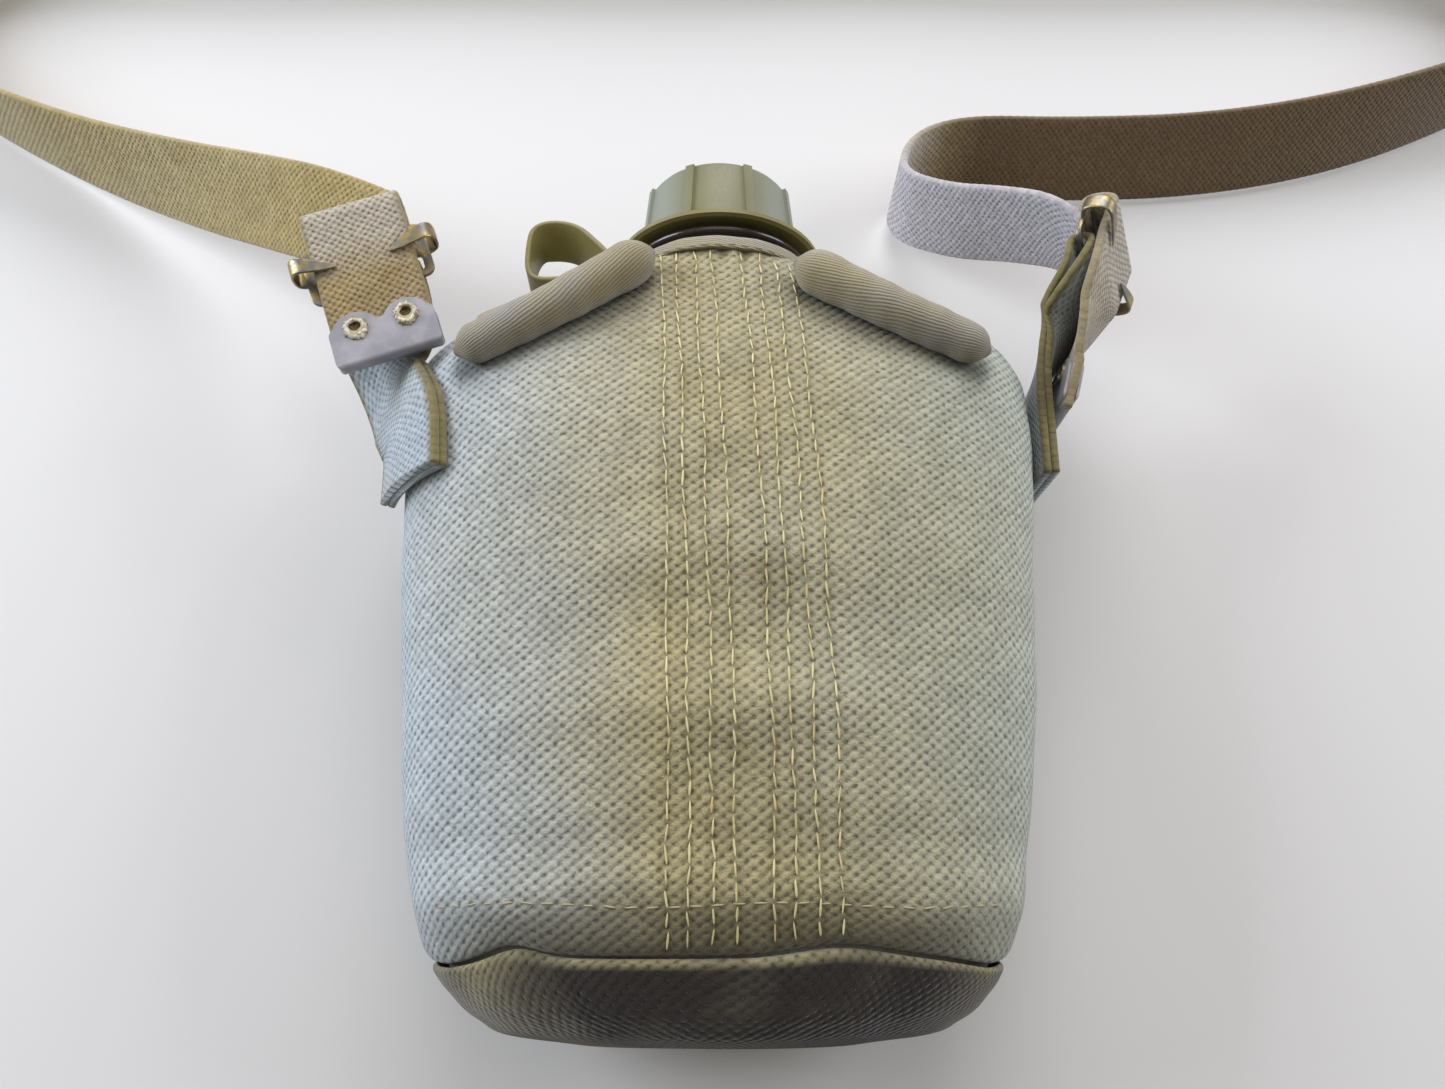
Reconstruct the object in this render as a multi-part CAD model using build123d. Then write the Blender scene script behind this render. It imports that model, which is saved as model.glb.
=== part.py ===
from build123d import *
import math
import os

os.makedirs("parts", exist_ok=True)

# A one litre field canteen in a quilted canvas cover with a shoulder sling, lying on its back.
# Millimetres. The origin is the middle of the cover's flat back, on the surface it lies on.
# +X is to the right, +Y runs from the foot to the cap, +Z is up out of the cover's front.

# ---- driving dimensions ----
AXIS_Z = 38.0            # height of the bottle's neck axis above the surface
CANVAS = 3.0             # thickness of the doubled canvas
LAYER_GAP = 0.25         # air between two layers of one body
FELT = 1.8               # thickness of the felt lining
BOTTLE_WALL = 2.2        # wall of the moulded bottle
OVERRUN = 2.0            # how far an inner cut runs past the collar
SEAM_Y = -81.0           # plane of the seam between the panels and the foot panel
COLLAR_Y = 99.0          # upper edge of the cover at the neck
MOUTH_Y = 122.6          # rim of the bottle's mouth

NECK_R = 17.8            # outside of the neck, under the thread
MOUTH_R = 15.6           # bore of the neck
THREAD_PITCH = 5.0
THREAD_DEPTH = 1.5
THREAD_FOOT = 1.9        # width of a thread ridge at its foot
THREAD_CREST = 1.0       # width of a thread ridge at its crest

CAP_FOOT_Y = 102.7
CAP_TOP_Y = 127.2
CAP_FOOT_R = 22.3
CAP_TOP_R = 20.3
CAP_BORE_R = 19.9
RIB_COUNT = 8
RIB_WIDTH = 2.5
RIB_HEIGHT = 0.9
BRIM_R = 29.0
BRIM_GROOVE_R = 21.2     # the cap's groove, in which the brim turns
BRIM_BORE_R = 21.6
BRIM_Y = (104.1, 106.1)  # the brim's inner edge lies between these

NECK_RING_R = 26.4
NECK_RING_Y = (99.4, 102.1)
BAND_WIDTH = 12.0        # keeper band
BAND_THICK = 1.5

WEB_WIDTH = 27.0         # shoulder webbing
WEB_THICK = 2.4
TIP_WIDTH = 27.8
TIP_LENGTH = 15.0
TIP_WALL = 0.7
EYELET_PITCH = 13.4
EYELET_BORE_R = 1.55
EYELET_R = 2.1
EYELET_RIM_R = 2.6
EYELET_Y = 9.4           # the eyelets' height above the tail's end
TIP_FOLD_Y = -1.6        # the tip's fold lies this far past the tail's end
TIP_LOBE_R = 6.6         # the two lobes of the tip's upper edge

ROLL_CORE_R = 4.2        # rolled edge of a shoulder flap
TAPE_THICK = 0.9         # twill tape bound round it
TAPE_GAP = 0.15


def save(name, shape):
    """Writes one sub-part."""
    shape.label = name
    export_step(shape, f"parts/{name}.step")


# ---- the body's form ----
# One row for each cross-section: its place along Y, half width, top, lowest point of the
# uncut oval, squareness of the oval, and the shares of a wall's thickness that go inwards
# and along Y when the form is shrunk.
SECTIONS = [
    (-99.4, 36.0, 54.0, 20.0, 2.2, 0.6, 1.0),
    (-98.0, 46.0, 59.5, 13.0, 2.2, 0.7, 0.9),
    (-94.5, 55.0, 64.5, 6.0, 2.3, 0.8, 0.6),
    (-88.5, 62.0, 68.0, 0.5, 2.4, 0.95, 0.3),
    (-81.0, 66.6, 70.5, -4.0, 2.4, 1.0, 0.0),
    (-69.0, 71.2, 75.0, -6.0, 2.3, 1.0, 0.0),
    (-45.0, 76.0, 78.5, -6.0, 2.25, 1.0, 0.0),
    (-8.0, 80.0, 80.0, -6.0, 2.2, 1.0, 0.0),
    (30.0, 83.2, 79.0, -6.0, 2.2, 1.0, 0.0),
    (52.0, 84.0, 75.5, -5.0, 2.25, 1.0, 0.0),
    (66.0, 82.5, 72.0, -2.5, 2.3, 0.8, -0.5),
    (75.0, 75.5, 69.5, 1.5, 2.3, 0.6, -0.7),
    (83.0, 60.0, 67.5, 5.0, 2.2, 0.6, -0.7),
    (90.0, 42.0, 66.0, 8.5, 2.1, 0.6, -0.7),
    (95.0, 31.5, 65.2, 10.5, 2.0, 0.8, -0.4),
    (99.0, 27.0, 65.0, 11.0, 2.0, 1.0, 0.0),
]
QUARTER_STEPS = 5        # spline points in each quarter of a cross-section


def oval(y, half_width, top, low, power):
    """A closed smooth section in the plane at y, widest at the neck axis' height."""
    points = []
    for step in range(4 * QUARTER_STEPS):
        angle = 0.5 * math.pi * step / QUARTER_STEPS
        across = abs(math.cos(angle)) ** (2 / power) * math.copysign(1, math.cos(angle))
        rise = abs(math.sin(angle)) ** (2 / power)
        height = (top - AXIS_Z) * rise if angle < math.pi else (low - AXIS_Z) * rise
        if abs(across) < 1e-6:
            across = 0.0
        points.append((half_width * across, y, AXIS_Z + height))
    return Face(Wire([Spline(*points, periodic=True)]))


def body_form(inset, overrun=0.0):
    """The canteen's form shrunk by inset, flat at the back and cut off at the collar."""
    faces = []
    for y, half_width, top, low, power, inwards, along in SECTIONS:
        shrink = inset * inwards
        if y == COLLAR_Y:
            y += overrun
        faces.append(oval(y + inset * along, half_width - shrink, top - shrink, low + shrink, power))
    solid = loft(faces)
    return solid & Pos(0, 0, inset + 100) * Box(400, 400, 200)


def slab(x, y, z):
    """A box between two values on each axis."""
    centre = [(low + high) / 2 for low, high in (x, y, z)]
    return Pos(*centre) * Box(x[1] - x[0], y[1] - y[0], z[1] - z[0])


FAR = 300.0
outside = body_form(0.0)
cover_bore = body_form(CANVAS, OVERRUN)
shell = outside - cover_bore

# ---- canvas cover: a front panel, a back panel and a foot panel, sewn edge to edge ----
cover_front = shell & slab((-FAR, FAR), (SEAM_Y, FAR), (AXIS_Z, FAR))
cover_back = shell & slab((-FAR, FAR), (SEAM_Y, FAR), (-FAR, AXIS_Z))
cover_bottom = shell & slab((-FAR, FAR), (-FAR, SEAM_Y), (-FAR, FAR))
save("cover_front", cover_front)
save("cover_back", cover_back)
save("cover_bottom", cover_bottom)

# ---- felt lining inside the canvas ----
felt_outer = CANVAS + LAYER_GAP
felt_inner = felt_outer + FELT
felt_lining = body_form(felt_outer) - body_form(felt_inner, OVERRUN)
save("felt_lining", felt_lining)


def ring(inner, outer, low, high):
    """A round tube about the neck axis, between two places along Y."""
    tube = Cylinder(outer, high - low) - Cylinder(inner, high - low + 1)
    return Pos(0, (low + high) / 2, AXIS_Z) * Rot(-90, 0, 0) * tube


def rod(radius, low, high):
    """A round bar about the neck axis."""
    return Pos(0, (low + high) / 2, AXIS_Z) * Rot(-90, 0, 0) * Cylinder(radius, high - low)


# ---- bound edge of the cover round the neck ----
BINDING_LENGTH = 5.0
collar_binding = ring(27.0 + LAYER_GAP, 28.3, COLLAR_Y - BINDING_LENGTH, COLLAR_Y)
collar_binding -= body_form(-LAYER_GAP, OVERRUN)
save("collar_binding", max(collar_binding.solids(), key=lambda s: s.volume))


def thread_ridge(root_r, inwards, start_y, turns):
    """A helical ridge about the neck axis, on root_r, with its foot sunk a little into the wall."""
    sink = 0.3
    sign = -1 if inwards else 1
    helix = Helix(pitch=THREAD_PITCH, height=THREAD_PITCH * turns, radius=root_r)
    profile = Plane(origin=helix @ 0, x_dir=(1, 0, 0), z_dir=helix % 0)
    foot = THREAD_FOOT / 2
    crest = THREAD_CREST / 2
    outline = Polyline(
        (-sign * sink, -foot),
        (sign * THREAD_DEPTH, -crest),
        (sign * THREAD_DEPTH, crest),
        (-sign * sink, foot),
        close=True,
    )
    ridge = sweep(profile * make_face(outline), path=helix, is_frenet=True)
    return Pos(0, start_y, AXIS_Z) * Rot(-90, 0, 0) * ridge


# ---- moulded bottle: hollow body, neck and outside thread ----
bottle_outer = felt_inner + 2 * LAYER_GAP
bottle_inner = bottle_outer + BOTTLE_WALL
bottle = body_form(bottle_outer) + rod(NECK_R, 80, MOUTH_Y)
bottle += thread_ridge(NECK_R, False, 109.0, 2.0)
bottle -= body_form(bottle_inner, -BOTTLE_WALL)
bottle -= rod(MOUTH_R, 80, MOUTH_Y + 1)
save("bottle_shell", bottle)

# ---- screw cap: tapered skirt with eight ribs, groove for the brim, inside thread ----
cap_profile = make_face(
    Polyline(
        (0, CAP_FOOT_Y),
        (CAP_FOOT_R, CAP_FOOT_Y),
        (CAP_FOOT_R, BRIM_Y[0] - 0.3),
        (BRIM_GROOVE_R, BRIM_Y[0] - 0.3),
        (BRIM_GROOVE_R, BRIM_Y[1] + 0.3),
        (CAP_FOOT_R, BRIM_Y[1] + 0.3),
        (CAP_TOP_R, CAP_TOP_Y - 1.8),
        (CAP_TOP_R - 0.9, CAP_TOP_Y - 0.6),
        (CAP_TOP_R - 2.6, CAP_TOP_Y - 0.1),
        (0, CAP_TOP_Y + 0.5),
        close=True,
    )
)
cap = Pos(0, 0, AXIS_Z) * revolve(cap_profile, Axis.Y)
rib_length = CAP_TOP_Y - 1.6 - (BRIM_Y[1] + 0.3)
rib_lean = math.degrees(math.atan2(CAP_FOOT_R - CAP_TOP_R, rib_length))
for number in range(RIB_COUNT):
    rib_r = (CAP_FOOT_R + CAP_TOP_R) / 2
    rib = Box(RIB_WIDTH, rib_length, 2 * RIB_HEIGHT)
    rib = Pos(0, 0, rib_r) * Rot(-rib_lean, 0, 0) * rib
    middle_y = BRIM_Y[1] + 0.8 + rib_length / 2
    turn = 22.5 + number * 360 / RIB_COUNT
    cap += Pos(0, middle_y - 0.3, AXIS_Z) * Rot(0, turn, 0) * rib
GASKET_THICK = 1.3
CAP_CEILING_Y = MOUTH_Y + 0.3 + GASKET_THICK
cap -= rod(CAP_BORE_R, CAP_FOOT_Y - 1, CAP_CEILING_Y)
cap += thread_ridge(CAP_BORE_R, True, 106.5, 2.0)
save("cap_shell", cap)
cap_gasket = ring(10.0, CAP_BORE_R - 0.2, MOUTH_Y + 0.3, CAP_CEILING_Y)
save("cap_gasket", cap_gasket)

# ---- cap keeper: flared brim ring in the cap's groove, neck ring and the band between ----
brim_profile = make_face(
    Polyline(
        (BRIM_BORE_R, BRIM_Y[0]),
        (BRIM_R - 1.2, BRIM_Y[0] - 0.9),
        (BRIM_R, BRIM_Y[0] - 0.5),
        (BRIM_R, BRIM_Y[0] + 0.6),
        (BRIM_R - 1.6, BRIM_Y[0] + 1.0),
        (BRIM_BORE_R, BRIM_Y[1]),
        close=True,
    )
)
keeper_cap_ring = Pos(0, 0, AXIS_Z) * revolve(brim_profile, Axis.Y)
save("keeper_cap_ring", keeper_cap_ring)
save("keeper_neck_ring", ring(NECK_R + 0.3, NECK_RING_R, *NECK_RING_Y))

BAND_LOOP_R = 7.6
BAND_LOOP = (-45.5, 105.6)      # centre of the band's end loop
band_top = BAND_LOOP[1] + BAND_LOOP_R
band_low = BAND_LOOP[1] - BAND_LOOP_R
band_end = BAND_LOOP[0] - BAND_LOOP_R
neck_ring_y = (NECK_RING_Y[0] + NECK_RING_Y[1]) / 2
band_line = FilletPolyline(
    (-BRIM_R + 1.0, BRIM_Y[0] + 0.2),
    (-37.0, band_top + 0.6),
    (band_end, band_top),
    (band_end, band_low),
    (-34.0, neck_ring_y - 0.6),
    (-NECK_RING_R + 1.0, neck_ring_y),
    radius=4.0,
)
band_face = make_face(offset(band_line, amount=BAND_THICK / 2, side=Side.BOTH))
keeper_band = Pos(0, 0, AXIS_Z) * extrude(band_face, BAND_WIDTH / 2, both=True, dir=(0, 0, 1))
keeper_band -= rod(NECK_RING_R + 0.4, COLLAR_Y - 3, CAP_FOOT_Y)
keeper_band -= rod(BRIM_R + 0.02, CAP_FOOT_Y, CAP_TOP_Y)
save("keeper_band", keeper_band)

# ---- shoulder flaps: a web that follows the shoulder and ends in a rolled, taped edge ----
WEB_INNER = 0.6          # air under the web
WEB_OUTER = 2.4
CREASE_Z = 41.0          # the web is sewn down below this height
FLAP_END_Y = 92.5        # the web stops short of the neck binding
FLAP_END_X = 64.0        # and short of the chape
LEFT_ROLL = [(-21.5, 85.6, 71.2), (-39.6, 72.9, 72.8), (-64.8, 61.6, 68.2)]
RIGHT_ROLL = [(24.5, 82.4, 71.8), (42.8, 71.4, 72.9), (67.1, 62.2, 67.4)]
web_skin = body_form(-WEB_OUTER) - body_form(-WEB_INNER, OVERRUN)
web_slot = body_form(-WEB_OUTER - TAPE_GAP, OVERRUN) - body_form(-WEB_INNER + TAPE_GAP, 2 * OVERRUN)


def roll(route, radius):
    """A round bar along a bent route."""
    line = FilletPolyline(*route, radius=30.0)
    section = Plane(origin=line @ 0, z_dir=line % 0) * Circle(radius)
    return sweep(section, path=line)


def flap(name, route):
    """The flap with its rolled core, and the tape round the roll with a slot for the web."""
    side = math.copysign(1, route[0][0])
    edge = [(x, y) for x, y, _ in route]
    plan = edge + [
        (side * FLAP_END_X, edge[-1][1] + 5),
        (side * FLAP_END_X, FLAP_END_Y),
        (edge[0][0], FLAP_END_Y),
    ]
    reach = Pos(0, 0, CREASE_Z) * extrude(make_face(Polyline(*plan, close=True)), 60, dir=(0, 0, 1))
    core = roll(route, ROLL_CORE_R)
    tape = roll(route, ROLL_CORE_R + TAPE_GAP + TAPE_THICK) - roll(route, ROLL_CORE_R + TAPE_GAP)
    tape -= web_slot & reach
    tape -= body_form(-2 * TAPE_GAP)
    save(name, (web_skin & reach) + core)
    save(f"{name}_binding", tape)


flap("left_flap", LEFT_ROLL)
flap("right_flap", RIGHT_ROLL)


# ---- shoulder webbing ----
def strap_sections(stations, thick=WEB_THICK):
    """Cross-sections of a flat strap. A station is a centre and the direction across the strap."""
    centres = [Vector(*centre) for centre, _ in stations]
    faces = []
    for number, (_, across) in enumerate(stations):
        before = centres[max(number - 1, 0)]
        after = centres[min(number + 1, len(centres) - 1)]
        travel = (after - before).normalized()
        across = Vector(*across).normalized()
        travel -= across * travel.dot(across)
        plane = Plane(origin=centres[number], x_dir=across, z_dir=travel)
        faces.append(plane * Rectangle(WEB_WIDTH, thick))
    return faces


def webbing(stations, thick=WEB_THICK):
    """A flat strap through its stations, straight from each to the next."""
    return loft(strap_sections(stations, thick), ruled=True)


# Each slide buckle has its own frame: X along its bars, Y along the strap away from the
# canteen, Z out of its face.
LEFT_FRAME = Plane(origin=(-94.3, 93.5, 57.0), x_dir=(0.945, 0.326, 0), z_dir=(0.02, -0.07, 1))
RIGHT_FRAME = Plane(origin=(103.5, 99.5, 50.0), x_dir=(0.40, -0.33, -0.855), z_dir=(0.83, -0.265, 0.491))
SHEET_METAL = 1.2
BUCKLE_HALF = (16.8, 8.0)
SLOT = (28.6, 4.4)
SLOT_Y = 4.0
CLAW_WIDTH = 4.0
CLAW_LINE = [(14.0, 0.6), (19.0, 0.6), (19.0, 7.6), (8.0, 7.9)]
STRAP_Z = 5.3            # middle of the strap's front layer
BACK_Z = -1.8            # middle of its back layer
LEFT_FOLD_Y = 11.5       # where the two layers meet in a round fold
RIGHT_FOLD_Y = 6.9       # the right fold lies closer to its buckle
HINGE_Y = -2.6           # line under the claws on which the tail lifts
LOOP_Y = -7.1            # the chape's bar
BAR_R = 1.3              # the bar with its clearance, inside the chape's loop
CHAPE_THICK = 2.0        # one layer of a chape, which is doubled
TAIL_START = 1.6         # the fold's front layer ends this far above the hinge


def buckle():
    """A stamped slide with two slots and two open claws that hold the strap's front layer."""
    plate = slab((-BUCKLE_HALF[0], BUCKLE_HALF[0]), (-BUCKLE_HALF[1], BUCKLE_HALF[1]), (0, SHEET_METAL))
    plate = fillet(plate.edges().filter_by(Axis.Z), 2.5)
    for slot_y in (-SLOT_Y, SLOT_Y):
        plate -= Pos(0, slot_y, SHEET_METAL / 2) * Box(SLOT[0], SLOT[1], 2 * SHEET_METAL)
    face = make_face(offset(FilletPolyline(*CLAW_LINE, radius=3.0), amount=SHEET_METAL / 2, side=Side.BOTH))
    claw = Rot(90, 0, 0) * extrude(face, CLAW_WIDTH / 2, both=True, dir=(0, 0, 1))
    return plate + claw + mirror(claw, Plane.YZ)


def sling_turn(fold_y):
    """The strap's fold over the buckle: a front layer, a round fold and a back layer."""
    radius = (STRAP_Z - BACK_Z) / 2
    half_width, half_thick = WEB_WIDTH / 2, WEB_THICK / 2
    across = (-half_width, half_width)
    front = slab(across, (HINGE_Y + TAIL_START, fold_y), (STRAP_Z - half_thick, STRAP_Z + half_thick))
    back = slab(across, (SLOT_Y, fold_y), (BACK_Z - half_thick, BACK_Z + half_thick))
    bend = Cylinder(radius + half_thick, WEB_WIDTH) - Cylinder(radius - half_thick, WEB_WIDTH + 1)
    bend = Pos(0, fold_y, (STRAP_Z + BACK_Z) / 2) * Rot(0, 90, 0) * bend
    return front + back + (bend & slab((-FAR, FAR), (fold_y, FAR), (-FAR, FAR)))


def chape_loop():
    """The sewn loop of the chape round the buckle's lower bar."""
    loop = Cylinder(BAR_R + CHAPE_THICK, WEB_WIDTH) - Cylinder(BAR_R, WEB_WIDTH + 1)
    return Pos(0, LOOP_Y, SHEET_METAL / 2) * Rot(0, 90, 0) * loop


def chape_route(frame, sewn_part):
    """Stations from the side of the cover to the buckle's lower bar."""
    at_bar = [
        (tuple(frame.from_local_coords((0, LOOP_Y + y, z))), tuple(frame.x_dir))
        for y, z in ((-5.5, 0.2), (-2.9, 0.6))
    ]
    return sewn_part + at_bar


# Each chape is sewn to the cover's side, rises past the shoulder and turns towards its buckle.
# The left one lies high on the flank, and the right one on the side seam.
LEFT_CHAPE = [
    ((-78.4, 31.0, 59.6), (0.68, 0.0, 0.733)),
    ((-79.8, 44.0, 57.6), (0.655, 0.0, 0.755)),
    ((-86.6, 59.0, 47.6), (0.62, 0.06, 0.78)),
    ((-89.0, 70.5, 49.3), (0.86, 0.27, 0.42)),
]
RIGHT_CHAPE = [
    ((86.4, 41.0, 37.0), (0.0, 0.0, -1.0)),
    ((86.4, 60.0, 38.0), (0.0, 0.0, -1.0)),
    ((89.8, 71.0, 40.5), (0.12, -0.10, -0.98)),
    ((95.6, 81.0, 44.5), (0.28, -0.25, -0.92)),
]
# The tails start at the claws and end in their metal tips.
LEFT_TAIL_LENGTH = 28.4
left_hinge = LEFT_FRAME.from_local_coords((0, HINGE_Y, STRAP_Z))
left_tail_dir = LEFT_FRAME.y_dir * -1
LEFT_TAIL = [
    (tuple(left_hinge + left_tail_dir * (LEFT_TAIL_LENGTH * share)), tuple(LEFT_FRAME.x_dir))
    for share in (0.0, 0.5, 0.95)
]
right_hinge = RIGHT_FRAME.from_local_coords((0, HINGE_Y, STRAP_Z))
RIGHT_TAIL = [
    (tuple(right_hinge), (0.40, -0.33, -0.855)),
    (tuple(right_hinge + RIGHT_FRAME.y_dir * -9.0 + RIGHT_FRAME.z_dir * 0.4), (0.36, -0.33, -0.87)),
    ((100.0, 78.8, 50.6), (0.15, -0.2, -0.96)),
    ((95.4, 70.0, 47.0), (0.0, 0.0, -1.0)),
    ((91.3, 55.5, 42.5), (0.0, 0.0, -1.0)),
]


def tail_end(stations):
    """The frame of a tail's end: X across, Y back along the strap, Z out of its face."""
    last, before = Vector(*stations[-1][0]), Vector(*stations[-2][0])
    back = (before - last).normalized()
    across = Vector(*stations[-1][1]).normalized()
    back = (back - across * back.dot(across)).normalized()
    return Plane(origin=last, x_dir=across, z_dir=across.cross(back))


def tip():
    """A folded steel tip: two plates with a lobed edge, joined by the fold at the strap's end."""
    outer = WEB_THICK / 2 + TIP_WALL + 0.1
    low = TIP_FOLD_Y
    block = slab((-TIP_WIDTH / 2, TIP_WIDTH / 2), (low, low + TIP_LENGTH), (-outer, outer))
    fold_edges = block.edges().filter_by(Axis.X).group_by(Axis.Y)[0]
    block = fillet(fold_edges, outer - 0.2)
    block -= slab((-50, 50), (low + TIP_WALL, 50), (-outer + TIP_WALL, outer - TIP_WALL))
    plan = Pos(0, low + TIP_LENGTH / 2 - 1.6) * RectangleRounded(TIP_WIDTH, TIP_LENGTH - 3.2, 2.2)
    for x in (-EYELET_PITCH / 2, EYELET_PITCH / 2):
        plan += Pos(x, low + TIP_LENGTH - TIP_LOBE_R) * Circle(TIP_LOBE_R)
    return block & extrude(plan, 10, both=True, dir=(0, 0, 1))


def eyelets():
    """Two tube rivets through tip and strap, each rolled over to a rim on both faces."""
    face_z = WEB_THICK / 2 + TIP_WALL + 0.1
    rivet = Cylinder(EYELET_R, 2 * face_z)
    for side in (-1, 1):
        rivet += Pos(0, 0, side * (face_z + 0.3)) * Cylinder(EYELET_RIM_R, 0.6)
    rivet -= Cylinder(EYELET_BORE_R, 4 * face_z)
    return [Pos(x, EYELET_Y, 0) * rivet for x in (-EYELET_PITCH / 2, EYELET_PITCH / 2)]


for name, frame, chape, tail, fold_y in (
    ("left", LEFT_FRAME, chape_route(LEFT_FRAME, LEFT_CHAPE), LEFT_TAIL, LEFT_FOLD_Y),
    ("right", RIGHT_FRAME, chape_route(RIGHT_FRAME, RIGHT_CHAPE), RIGHT_TAIL, RIGHT_FOLD_Y),
):
    save(f"{name}_buckle", frame.location * buckle())
    save(f"{name}_sling_turn", frame.location * sling_turn(fold_y))
    save(f"{name}_chape", webbing(chape, 2 * CHAPE_THICK) + frame.location * chape_loop())
    end = tail_end(tail)
    rivets = [end.location * rivet for rivet in eyelets()]
    drilled = webbing(tail)
    end_piece = end.location * tip()
    for x in (-EYELET_PITCH / 2, EYELET_PITCH / 2):
        hole = end.location * (Pos(x, EYELET_Y, 0) * Cylinder(EYELET_R, 20))
        drilled -= hole
        end_piece -= hole
    save(f"{name}_tail", drilled)
    save(f"{name}_tip", end_piece)
    save(f"{name}_tip_eyelets", Compound(children=rivets))

# ---- sling: one strap from the left buckle, down, round behind the canteen and back up ----
# The route's points, each with the direction across the strap. The strap stands on its edge
# where it lies on the surface. It is drawn as three lengths that meet end to end.
SLING_ROUTE = [
    ((-96.0, 106.5, 51.5), (0.45, 0.80, 0.40)),
    ((-112.0, 116.0, 48.0), (0.42, 0.70, 0.58)),
    ((-134.0, 128.0, 38.0), (0.35, 0.62, 0.70)),
    ((-165.0, 144.0, 24.5), (0.25, 0.50, 0.83)),
    ((-203.0, 162.0, 15.5), (0.15, 0.30, 0.94)),
    ((-240.0, 180.0, 14.2), (0.05, 0.10, 0.99)),
    ((-272.0, 200.0, 14.2), (0.0, 0.0, 1.0)),
    ((-290.0, 228.0, 14.2), (0.0, 0.0, 1.0)),
    ((-272.0, 254.0, 14.2), (0.0, 0.0, 1.0)),
    ((-224.0, 261.0, 14.2), (0.0, 0.0, 1.0)),
    ((-160.0, 257.0, 14.2), (0.0, 0.0, 1.0)),
    ((-92.0, 262.0, 14.2), (0.0, 0.0, 1.0)),
    ((-20.0, 258.0, 14.2), (0.0, 0.0, 1.0)),
    ((52.0, 263.0, 14.2), (0.0, 0.0, 1.0)),
    ((122.0, 258.0, 14.2), (0.0, 0.0, 1.0)),
    ((190.0, 262.0, 14.2), (0.0, 0.0, 1.0)),
    ((250.0, 258.0, 14.2), (0.0, 0.0, 1.0)),
    ((288.0, 240.0, 14.2), (0.0, 0.0, 1.0)),
    ((286.0, 208.0, 14.2), (0.0, 0.1, 0.99)),
    ((250.0, 190.0, 13.6), (0.0, 0.35, 0.94)),
    ((206.0, 174.0, 12.5), (0.0, 0.55, 0.84)),
    ((160.0, 165.0, 12.2), (0.0, 0.60, 0.80)),
    ((112.0, 163.0, 12.4), (0.05, 0.60, 0.80)),
    ((76.0, 164.0, 13.5), (0.1, 0.45, 0.89)),
    ((58.0, 156.0, 15.0), (0.1, 0.25, 0.96)),
    ((56.0, 141.0, 19.0), (0.0, 0.20, 0.97)),
    ((70.0, 129.0, 27.0), (-0.1, 0.25, 0.96)),
    ((86.0, 120.0, 38.0), (-0.3, 0.30, 0.90)),
    ((97.5, 111.0, 47.0), (-0.40, 0.33, 0.855)),
    ((101.6, 105.2, 47.0), (-0.40, 0.33, 0.855)),
]
SLING_LENGTHS = (("sling_left", 0, 5), ("sling_loop", 5, 19), ("sling_right", 19, 29))
STEPS_BETWEEN = 3


def smooth_route(route):
    """Stations along the quadratic curve that a route's points control, ends included."""
    middle = [
        [tuple((a + b) / 2 for a, b in zip(one, two)) for one, two in zip(first, second)]
        for first, second in zip(route, route[1:])
    ]
    middle[0], middle[-1] = route[0], route[-1]
    stations = [route[0]]
    for start, corner, end in zip(middle, route[1:-1], middle[1:]):
        for step in range(1, STEPS_BETWEEN + 1):
            t = step / STEPS_BETWEEN
            weights = ((1 - t) ** 2, 2 * t * (1 - t), t * t)
            station = []
            for part in range(2):
                values = zip(start[part], corner[part], end[part])
                station.append(tuple(sum(w * v for w, v in zip(weights, row)) for row in values))
            stations.append(tuple(station))
    return stations


sling_stations = smooth_route(SLING_ROUTE)
sling_faces = strap_sections(sling_stations)
sling_points = [Vector(*centre) for centre, _ in sling_stations]
for name, first, last in SLING_LENGTHS:
    begin = STEPS_BETWEEN * max(first - 1, 0)
    end = STEPS_BETWEEN * (last - 1)
    strap = loft(sling_faces[begin:end + 1], ruled=True)
    points = sling_points[begin:end + 1]
    length = sum((b - a).length for a, b in zip(points, points[1:]))
    print(name, "length", round(length, 1))
    save(name, strap)
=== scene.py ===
import math

import bmesh
import bpy
import numpy as np
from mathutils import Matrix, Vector


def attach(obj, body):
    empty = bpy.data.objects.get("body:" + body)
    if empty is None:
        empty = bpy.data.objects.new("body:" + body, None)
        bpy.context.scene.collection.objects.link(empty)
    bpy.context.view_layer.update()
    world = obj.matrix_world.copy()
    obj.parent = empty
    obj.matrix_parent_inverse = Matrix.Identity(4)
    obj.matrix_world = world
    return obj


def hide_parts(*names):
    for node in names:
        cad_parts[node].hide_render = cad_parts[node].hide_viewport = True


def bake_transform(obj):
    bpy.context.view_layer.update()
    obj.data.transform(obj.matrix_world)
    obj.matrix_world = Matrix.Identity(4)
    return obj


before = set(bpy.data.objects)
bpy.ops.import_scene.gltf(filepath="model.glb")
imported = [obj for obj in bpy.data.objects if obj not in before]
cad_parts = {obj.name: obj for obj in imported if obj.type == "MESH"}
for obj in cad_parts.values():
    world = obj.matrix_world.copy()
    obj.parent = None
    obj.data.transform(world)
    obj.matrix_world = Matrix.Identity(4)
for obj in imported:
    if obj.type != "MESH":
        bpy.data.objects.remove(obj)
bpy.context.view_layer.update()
MM = 0.001
MERGE = 1e-6  # points closer than this, in metres, are one

# ---- Studio: a plain pale floor, soft window light from both sides and beyond, the camera ----
# The camera looks down on the canteen from over its foot, steeply and with a short lens.
studio = bpy.context.scene
studio.view_settings.view_transform = "Standard"


def linked(name, data):
    """A new object that holds this data, in the scene."""
    made = bpy.data.objects.new(name, data)
    studio.collection.objects.link(made)
    return made


camera_data = bpy.data.cameras.new("camera")
camera_data.lens = 27.4
camera = linked("camera", camera_data)
camera.location = (0.001, -0.074, 0.313)
camera.rotation_euler = (math.radians(19.0), 0, 0)
studio.camera = camera


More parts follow.
